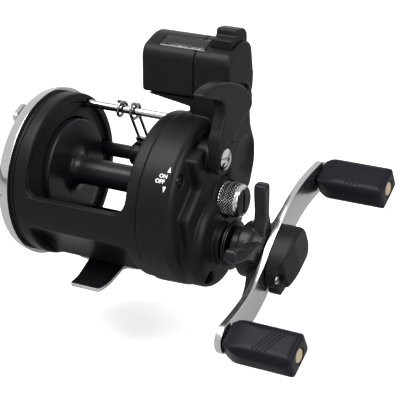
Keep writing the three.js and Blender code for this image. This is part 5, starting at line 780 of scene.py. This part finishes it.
def on_surface(mesh, bend, name):
    """Cuts flat print into short pieces and lays it on the surface."""
    shape = bmesh.new()
    shape.from_mesh(mesh)
    for _ in range(2):
        long_edges = [edge for edge in shape.edges if edge.calc_length() > 0.6]
        bmesh.ops.subdivide_edges(shape, edges=long_edges, cuts=1)
    bmesh.ops.triangulate(shape, faces=shape.faces)
    for point in shape.verts:
        point.co = place(*bend(*point.co))
    return outwards(name, mesh, shape)


def rim_bend(x, degrees):
    """Places print on the cover's rim, upright towards the top."""
    def bend(across, up, rise):
        along = x + across
        radius = INK_RADIUS + rise - RIM_TAPER * (along - RIM_END)
        turn = degrees - math.degrees(up / RIM_RADIUS)
        return (along, *polar((0, 0), radius, turn))
    return bend


def arrow(bend, name, way):
    """A printed arrowhead, pointing up or down the rim."""
    mesh = bpy.data.meshes.new(name)
    corners = [(-0.6, -0.9 * way), (0.6, -0.9 * way), (0, 1.2 * way)]
    mesh.from_pydata([(x, y, z) for z in (-0.06, 0.06) for x, y in corners], [],
                     [(0, 1, 2), (3, 5, 4), (0, 3, 4, 1), (1, 4, 5, 2), (2, 5, 3, 0)])
    return on_surface(mesh, bend, name)


for made, name in ((lettering("ON", 2.0, rim_bend(35.3, 146.4), "on"), "mark_on"),
                   (lettering("OFF", 2.1, rim_bend(34.5, 150.0), "off"), "mark_off"),
                   (arrow(rim_bend(37.0, 141.8), "up", 1), "mark_arrow_up"),
                   (arrow(rim_bend(36.7, 154.5), "down", -1), "mark_arrow_down")):
    fitted(made, name, white_ink, "housing", slot="white_nylon", crease=35)


# Counter: the left half of its graphite housing, which meets the right half at a fine seam.
# Under it a moulded tray closes the gear train's shelf.
counter_left = joined(pushed("left_half", counter_section(), 10.6, SEAM - 2, COUNTER_EDGE),
                      pushed("square", counter_section(), SEAM - 4, SEAM))
cut(counter_left, pushed("room", counter_section(COUNTER_WALL), 12.3, SEAM + 1),
    *window_slots(), rod(11.3, 13.3, AXLE_HOLE, COUNTER_AT))
softened(counter_left, 0.28, 4)
fitted(counter_left, "counter_left_moulding", graphite, "housing", ["counter_left_cover"])
tray_line = [(13.2, 37.7), (13.2, 37.2), (30.2, 34.6), (30.2, 10), (32, 10), (32, 37.7)]
tray = pushed("tray", tray_line, 1.4, 17.72, way=lambda y, x, z: (x, y, z))
cut(tray, rod(12.2, 33, 32.3, steps=192), block(12.2, 33, 0, 20.8, 5, 19.2))
softened(tray, 0.28, 2)
fitted(tray, "counter_tray_moulding", graphite, "housing", ["counter_tray"])


# Number wheels: three white nylon wheels, one place each, side by side on the counter's shaft under
# the window. Their figures are printed in black.
black_ink = moulded("black_ink", (0.01, 0.01, 0.01), 0.5, grain=0.000002, spec=0.3, cloud=0.05)
WHEEL_RADIUS, WHEEL_LEFT, WHEEL_PITCH, WHEEL_WIDTH = 7.1, 17.4, 5.8, 5.45
FIGURE_HIGH, FIGURE_AT, FIGURE_STEP = 4.6, 114, 36
for number, body in enumerate(("hundreds", "tens", "units")):
    node = body + "_wheel"
    left = WHEEL_LEFT + WHEEL_PITCH * number
    right = left + WHEEL_WIDTH
    wheel = turned("wheel", rounded([(left, 1.4), (left, WHEEL_RADIUS, 0.35),
                                     (right, WHEEL_RADIUS, 0.35), (right, 1.4)]), COUNTER_AT, 144)
    fitted(wheel, f"{node}_moulded", nylon, body, [node], crease=35)
    for figure in range(10):
        def bend(across, up, rise, figure=figure, middle=(left + right) / 2):
            turn = FIGURE_AT - FIGURE_STEP * figure - math.degrees(up / WHEEL_RADIUS)
            return (middle + across, *polar(COUNTER_AT, WHEEL_RADIUS + rise, turn))
        fitted(lettering(str(figure), FIGURE_HIGH, bend, "figure", 0.06),
               f"{node}_figure_{figure}", black_ink, body, slot="satin_black_metal", crease=35)


# Window: a flat pane of lightly smoked acrylic, snapped into its seat in the counter's slanting
# back, and level with the housing round it. Handling has left it a little hazy.
clear, tree, skin, where = new_finish("window_lens")
adjusted(skin, Base_Color=(0.5, 0.51, 0.52, 1), Transmission_Weight=1, IOR=1.3)
smear = added(tree, "TexNoise", Scale=220)
haze = added(tree, "MapRange", To_Min=0.02, To_Max=0.12)
wired(tree, (where, "Object", smear, "Vector"), (smear, "Fac", haze, "Value"),
      (haze, "Result", skin, "Roughness"))
fitted(slant_box(17.0, 35.2, -3.1, 3.1, 0.9, 0), "window_pane", clear, "housing",
       ["counter_window"], crease=35)


# Reset button: a stepped block moulded in black plastic, in a pocket in the top of the counter. It
# stands proud, and presses down to bring the wheels back to zero.
reset_line = [(5.7, 55.06), (5.7, 59.84, 0.8), (9.37, 60.34, 0.8), (9.87, 63.08, 1.2),
              (15.94, 62.58, 2), (17.94, 60.34, 1.2), (17.94, 55.06)]
reset = pushed("reset", rounded(reset_line), 36.6, 45.0, 0.6)
fitted(reset, "reset_block", graphite, "reset", ["reset_button"], crease=40)


# Clutch lever: a graphite moulding that hooks back from its hub to a broad thumb paddle, held by a
# chromed dome screw in the hub's counterbore.
LEVER_BACK, LEVER_FACE = 47.25, 51.85
DOME_SEAT, DOME_TOP, DOME_RISE, DOME_RADIUS = 49.35, 51.45, 1.25, 3.9
lever_line = [(-0.66, 0.96), (-0.56, 1.025), (-0.34, 1.04), (-0.05, 0.99), (0.26, 0.88),
              (0.48, 0.75), (0.585, 0.6), (0.53, 0.48), (0.3, 0.38), (0.15, 0.24), (0.19, 0.06),
              (0.14, -0.12), (-0.03, -0.19), (-0.2, -0.11), (-0.28, 0.1), (-0.3, 0.3),
              (-0.22, 0.46), (-0.14, 0.64), (-0.2, 0.78), (-0.42, 0.87)]
lever = pushed("lever", through(by_lever(lever_line), 8, closed=True), LEVER_BACK, LEVER_FACE, 0.9)
cut(lever, rod(49.85, 53, 6.8, LEVER_AT), rod(49.05, 53, 4.2, LEVER_AT),
    rod(46, 53, 1.56, LEVER_AT))
softened(lever, 0.28, 5)
fitted(lever, "lever_moulding", graphite, "clutch", ["clutch_lever"])
dome = [(47.2, 0), (47.2, 1.26), (DOME_SEAT, 1.26), (DOME_SEAT, DOME_RADIUS)]
dome += [(DOME_TOP - DOME_RISE * (r / DOME_RADIUS) ** 2, r)
         for r in (DOME_RADIUS * k / 12 for k in range(12, -1, -1))]
fitted(turned("dome", dome, LEVER_AT, 96), "lever_screw_dome", chrome, "clutch",
       ["clutch_lever_screw"], crease=35)


# Cast control knob: turned from brass and chromed, with a diamond knurl round it and a coin slot
# across its face. It screws over the boss on the spool's axis. Its grooves and the middle of its
# face carry painted shade, a dark chrome laid where shade falls in the knurl and on the face.
KNURL_COUNT, KNURL_DEPTH, KNURL_PITCH = 34, 0.32, 1.15
KNURL_START, KNURL_LONG, KNURL_ROWS = 46.2, 5.9, 44
points = []
rows = [(45.8, 0, 0), (45.8, 6.0, 0), (46.1, 6.3, 0)]
rows += [(KNURL_START + KNURL_LONG * k / KNURL_ROWS, 6.4, 1) for k in range(KNURL_ROWS + 1)]
rows += [(52.2, 6.15, 0), (52.6, 6.1, 0), (53.3, 5.75, 0), (53.6, 5.3, 0), (53.6, 0, 0)]
steps = KNURL_COUNT * 8
for x, radius, knurled in rows:
    for i in range(steps):
        depth = 0
        if knurled:
            u, v = x / KNURL_PITCH + i / 8, x / KNURL_PITCH - i / 8
            crest = min(abs(math.sin(math.pi * u)), abs(math.sin(math.pi * v))) ** 0.8
            depth = KNURL_DEPTH * (1 - crest)
        points.append((x, *polar(SPOOL_AT, max(radius - depth, 1e-5), 360 * i / steps)))
cast = made_of("cast", points, between(len(rows), steps))
cut(cast, rod(44, 49.3, 4.95, SPOOL_AT), block(52.1, 55, -0.6, 0.6, -2.1, 7.1))
fitted(cast, "cast_knob_knurled", chrome, "cast_knob", ["cast_control_knob"], crease=30)
# Painted shade: a dark chrome for the knurl's grooves and the face's middle. The spring washers
# below also use it, as their own dark steel.
shade = metal("dark_steel_and_painted_shade", (0.03, 0.03, 0.03), 0.35, scratch=0.000003)
cast.data.materials.append(shade)
# Faces in the knurl's grooves and in the middle of the face get the painted shade.
for face in cast.data.polygons:
    x, out = face.center.x / MM, (face.center - place(0, *SPOOL_AT)).yz.length / MM
    in_groove = KNURL_START < x < 52.1 and out < 6.29
    face.material_index = 1 if in_groove or x > 52 and out < 4.9 else 0


# Star drag: a black cast star with five arms, screwed on the drive shaft. Under it are two dished
# washers of dark spring steel, and the brass bushing in the gearcase's boss.
bush = rounded([(38, 3.35), (38, 5), (50.2, 5, 0.3), (50.2, 3.35)])
fitted(turned("bush", bush, HANDLE_AT, 96), "drive_bushing_turned", brass, "housing",
       ["drive_bushing"], crease=35)
shaft = rounded([(26.5, 0), (26.5, 1.8), (28.65, 1.8), (28.65, 3), (75.3, 3, 0.5), (75.3, 0)])
fitted(turned("shaft", shaft, HANDLE_AT, 96), "drive_shaft_turned", steel, "crank",
       ["drive_shaft"], crease=35)
washers = rounded([(50.5, 3.3), (50.5, 5, 0.4), (51.8, 9.19, 0.15), (52.2, 9.19, 0.15),
                   (52.4, 8.27, 0.1), (52.6, 9.19, 0.15), (53.0, 9.19, 0.15), (53.9, 5, 0.4),
                   (53.9, 3.3)])
fitted(turned("washer", washers, HANDLE_AT, 144), "spring_washers", shade, "crank",
       ["star_spring_washer"], crease=35, slot="steel")
star = turned("star", rounded([(54.2, 0), (54.2, 7.6, 0.4), (57.8, 7.6, 0.4), (57.8, 10.4, 1),
                               (62.6, 10.4, 2), (66.6, 7.28, 0.8), (66.6, 0)]), HANDLE_AT)
ARM_COUNT, ARM_TURN, ARM_BACK, ARM_FACE = 5, 92, 61.6, 66.2
for arm in range(ARM_COUNT):
    turn = ARM_TURN + 360 // ARM_COUNT * arm
    half = [(0, 5.2, 0), (10.4, 3.33, 1), (14.8, 2, 1.5), (21.1, 2.5, 1.5), (26.4, 2.5, 1.8)]
    line = [(*polar(polar(HANDLE_AT, along, turn), wide * way, turn + 90), r)
            for way, row in ((1, half), (-1, reversed(half))) for along, wide, r in row]
    joined(star, pushed("arm", rounded(line), ARM_BACK, ARM_FACE, 1))
cut(star, rod(53, 68, 3.35, HANDLE_AT))
softened(star, 0.28, 5)
fitted(star, "star_casting", black_metal, "star", ["star_drag"])


# Handle blade: pressed from aluminium plate and polished, flat, sweeping like an S, with a riveted
# post at each end. A nut holds it on the drive shaft.
blade_metal = metal("handle_metal", (0.46, 0.46, 0.47), 0.24, scratch=0.00001, stretch=(1, 0.25, 1))
BLADE_TURN, BLADE_REACH, BLADE_SWING, BLADE_HALF = 25.6, 40.9, 3.9, 6
BLADE_BACK, BLADE_FRONT, BLADE_EDGE = 67.3, 69.8, 0.3
END_RADIUS, POST_RADIUS, POST_END = 5.6, 2, 92.55


def on_blade(along, across=0):
    """A point so far along the blade from the drive shaft, and so far across it."""
    return polar(polar(HANDLE_AT, along, BLADE_TURN), across, BLADE_TURN + 90)


def sweep(share):
    """How far the blade's middle swings aside, at a share of its reach."""
    return BLADE_SWING * math.sin(math.pi * share)


sides = {1: [], -1: []}
for k in range(97):
    share = k / 48 - 1
    slope = BLADE_SWING * math.pi / BLADE_REACH * math.cos(math.pi * share)
    width, long = BLADE_HALF - 0.4 * share ** 4, math.hypot(1, slope)
    for way, line in sides.items():
        line.append(on_blade(share * BLADE_REACH - way * width * slope / long,
                             sweep(share) + way * width / long))
blade = pushed("blade", sides[1] + sides[-1][::-1], BLADE_BACK, BLADE_FRONT, BLADE_EDGE)
for along in (-BLADE_REACH, BLADE_REACH):
    end = arc(END_RADIUS, 0, 360, 96, on_blade(along))[:-1]
    joined(blade, pushed("end", end, BLADE_BACK, BLADE_FRONT, BLADE_EDGE),
           rod(68.8, POST_END, POST_RADIUS, on_blade(along)))
cut(blade, rod(66, 71, 3.3, HANDLE_AT))
fitted(blade, "blade_pressed", blade_metal, "crank", ["handle_blade"], crease=30)


# Nut cover: a black moulding over the handle nut. One end slopes down to a tab, where one screw in
# a counterbore holds it to the blade.
NUT_LONG, NUT_WIDE, NUT_BACK, NUT_TOP = 25, 17.5, 70.1, 77.7
nut_plan = [(0.44, 0.22), (0.44, -0.2), (0.34, -0.42), (0.08, -0.46), (-0.2, -0.5), (-0.42, -0.44),
            (-0.5, -0.18), (-0.42, 0.1), (-0.2, 0.32), (0.08, 0.46), (0.34, 0.44)]
nut_plan = rounded([(*on_blade(a * NUT_LONG, b * NUT_WIDE), 2.9) for a, b in nut_plan])
nut_cover = pushed("nut_cover", nut_plan, NUT_BACK, NUT_TOP, 1.37, flat_back=True)
NUT_SCREW_AT, NUT_SCREW_BORE = on_blade(-9.5, sweep(-9.5 / BLADE_REACH)), 2.2
cut(nut_cover, rod(69, 75.6, 6.6, HANDLE_AT), rod(72.84, 79, NUT_SCREW_BORE, NUT_SCREW_AT),
    rod(69, 78, 1.4, NUT_SCREW_AT))
slope = [(79, 1.5), (77.8, 1.5), (76.3, -7), (74.1, -8.8), (74.1, -14), (79, -14)]
cut(nut_cover, pushed("slope", slope, -12, 12,
                      way=lambda across, x, along: (x, *on_blade(along, across))))
tab_plan = [on_blade(a * NUT_LONG, b * NUT_WIDE)
            for a, b in ((-0.3, -0.3), (-0.36, -0.47), (-0.46, -0.48), (-0.48, -0.36))]
tab = pushed("tab", tab_plan, NUT_BACK, 75.4, 0.9)
cut(tab, rod(69, 79, NUT_SCREW_BORE, NUT_SCREW_AT))
joined(nut_cover, tab)
softened(nut_cover, 0.25, 6)
fitted(nut_cover, "nut_cover_moulding", graphite, "crank", ["nut_cover"])
slotted_screw("nut_cover_screw_turned", NUT_SCREW_AT,
              [(73.04, 0), (73.04, 1.9), (74.1, 1.7, 0.3), (74.1, 0)], 70.1, "crank",
              "nut_cover_screw")


# Crank knobs: soft rubber paddles moulded over a plastic core, free to spin on the posts, with four
# fine ribs across one flat side. A cream cap is pressed into a round recess in the outer end.
rubber = moulded("knob_rubber", (0.005, 0.005, 0.008), 0.34, grain=0.00003, grain_size=0.0006,
                 spec=0.08)
cream = moulded("knob_cap_plastic", (0.27, 0.21, 0.13), 0.4, grain=0.00001, spec=0.3, cloud=0.1)
KNOB_START, KNOB_LENGTH, KNOB_WIDTH, KNOB_THICK = 70.15, 26.8, 15, 10.4
KNOB_TURN, KNOB_BORE, RECESS_FLOOR, RECESS_RADIUS = math.radians(30), 2.35, 94.75, 3.15
RIB_COUNT, RIB_START, RIB_PITCH = 4, 82, 1.55
RIB_REAR, RIB_FRONT, RIB_SUNK, RIB_TOP = -4.7, 3.6, 4.6, 5.4


def crank_knob(along, body):
    """A paddle and its cap, on the post so far along the blade."""
    at = on_blade(along)
    c, s = math.cos(KNOB_TURN), math.sin(KNOB_TURN)

    def seat(x, wide, thick):
        """Turns a point of the paddle to the way it stands on its post."""
        return (x, at[0] + wide * c - thick * s, at[1] + wide * s + thick * c)

    def side(shares, half):
        """One view of the paddle, by shares of its length and of half its breadth."""
        line = shares + [(x, -w, r) for x, w, r in reversed(shares)]
        return rounded([(KNOB_START + x * KNOB_LENGTH, w * half, r * KNOB_LENGTH)
                        for x, w, r in line])

    plan = side([(0, -0.62, 0.02), (0.2, -0.98, 0.12), (0.94, -1, 0.12), (1, -0.82, 0.1)],
                KNOB_WIDTH / 2)
    edge = side([(0, -0.7, 0.02), (0.24, -1, 0.12), (0.94, -1, 0.12), (1, -0.86, 0.08)],
                KNOB_THICK / 2)
    end = rounded([(w * KNOB_WIDTH / 2, t * KNOB_THICK / 2, 1.6) for w, t in
                   ((-1, -0.5), (-0.72, -1), (0.72, -1), (1, -0.5), (1, 0.5), (0.72, 1),
                    (-0.72, 1), (-1, 0.5))])
    grip = pushed("grip", plan, -KNOB_WIDTH, KNOB_WIDTH, way=lambda t, x, w: seat(x, w, t))
    shared(grip, pushed("edge", edge, -KNOB_WIDTH, KNOB_WIDTH, way=lambda w, x, t: seat(x, w, t)),
           pushed("end", end, 60, 110, way=lambda x, w, t: seat(x, w, t)))
    cut(grip, rod(69, 96, KNOB_BORE, at))
    softened(grip, 0.35, 16)
    cut(grip, rod(RECESS_FLOOR, 98, RECESS_RADIUS, at))
    for rib in range(RIB_COUNT):
        x = RIB_START + RIB_PITCH * rib
        line = [(x, RIB_REAR), (x + 0.5, RIB_REAR), (x + 4.9, RIB_FRONT), (x + 4.4, RIB_FRONT)]
        joined(grip, pushed("rib", line, RIB_SUNK, RIB_TOP, 0.15, 2,
                            way=lambda t, x, w: seat(x, w, t)))
    fitted(grip, f"{body}_paddle", rubber, body, [body.replace("grip", "knob")])
    cap = turned("cap", rounded([(94.85, 0), (94.85, 3), (95.6, 3, 0.2), (95.6, 2.6, 0.1),
                                 (96.9, 2.6, 0.6), (96.9, 0)]), at, 96)
    fitted(cap, f"{body}_cap", cream, body, [body.replace("grip", "knob_cap")], crease=35)


crank_knob(BLADE_REACH, "upper_grip")
crank_knob(-BLADE_REACH, "lower_grip")
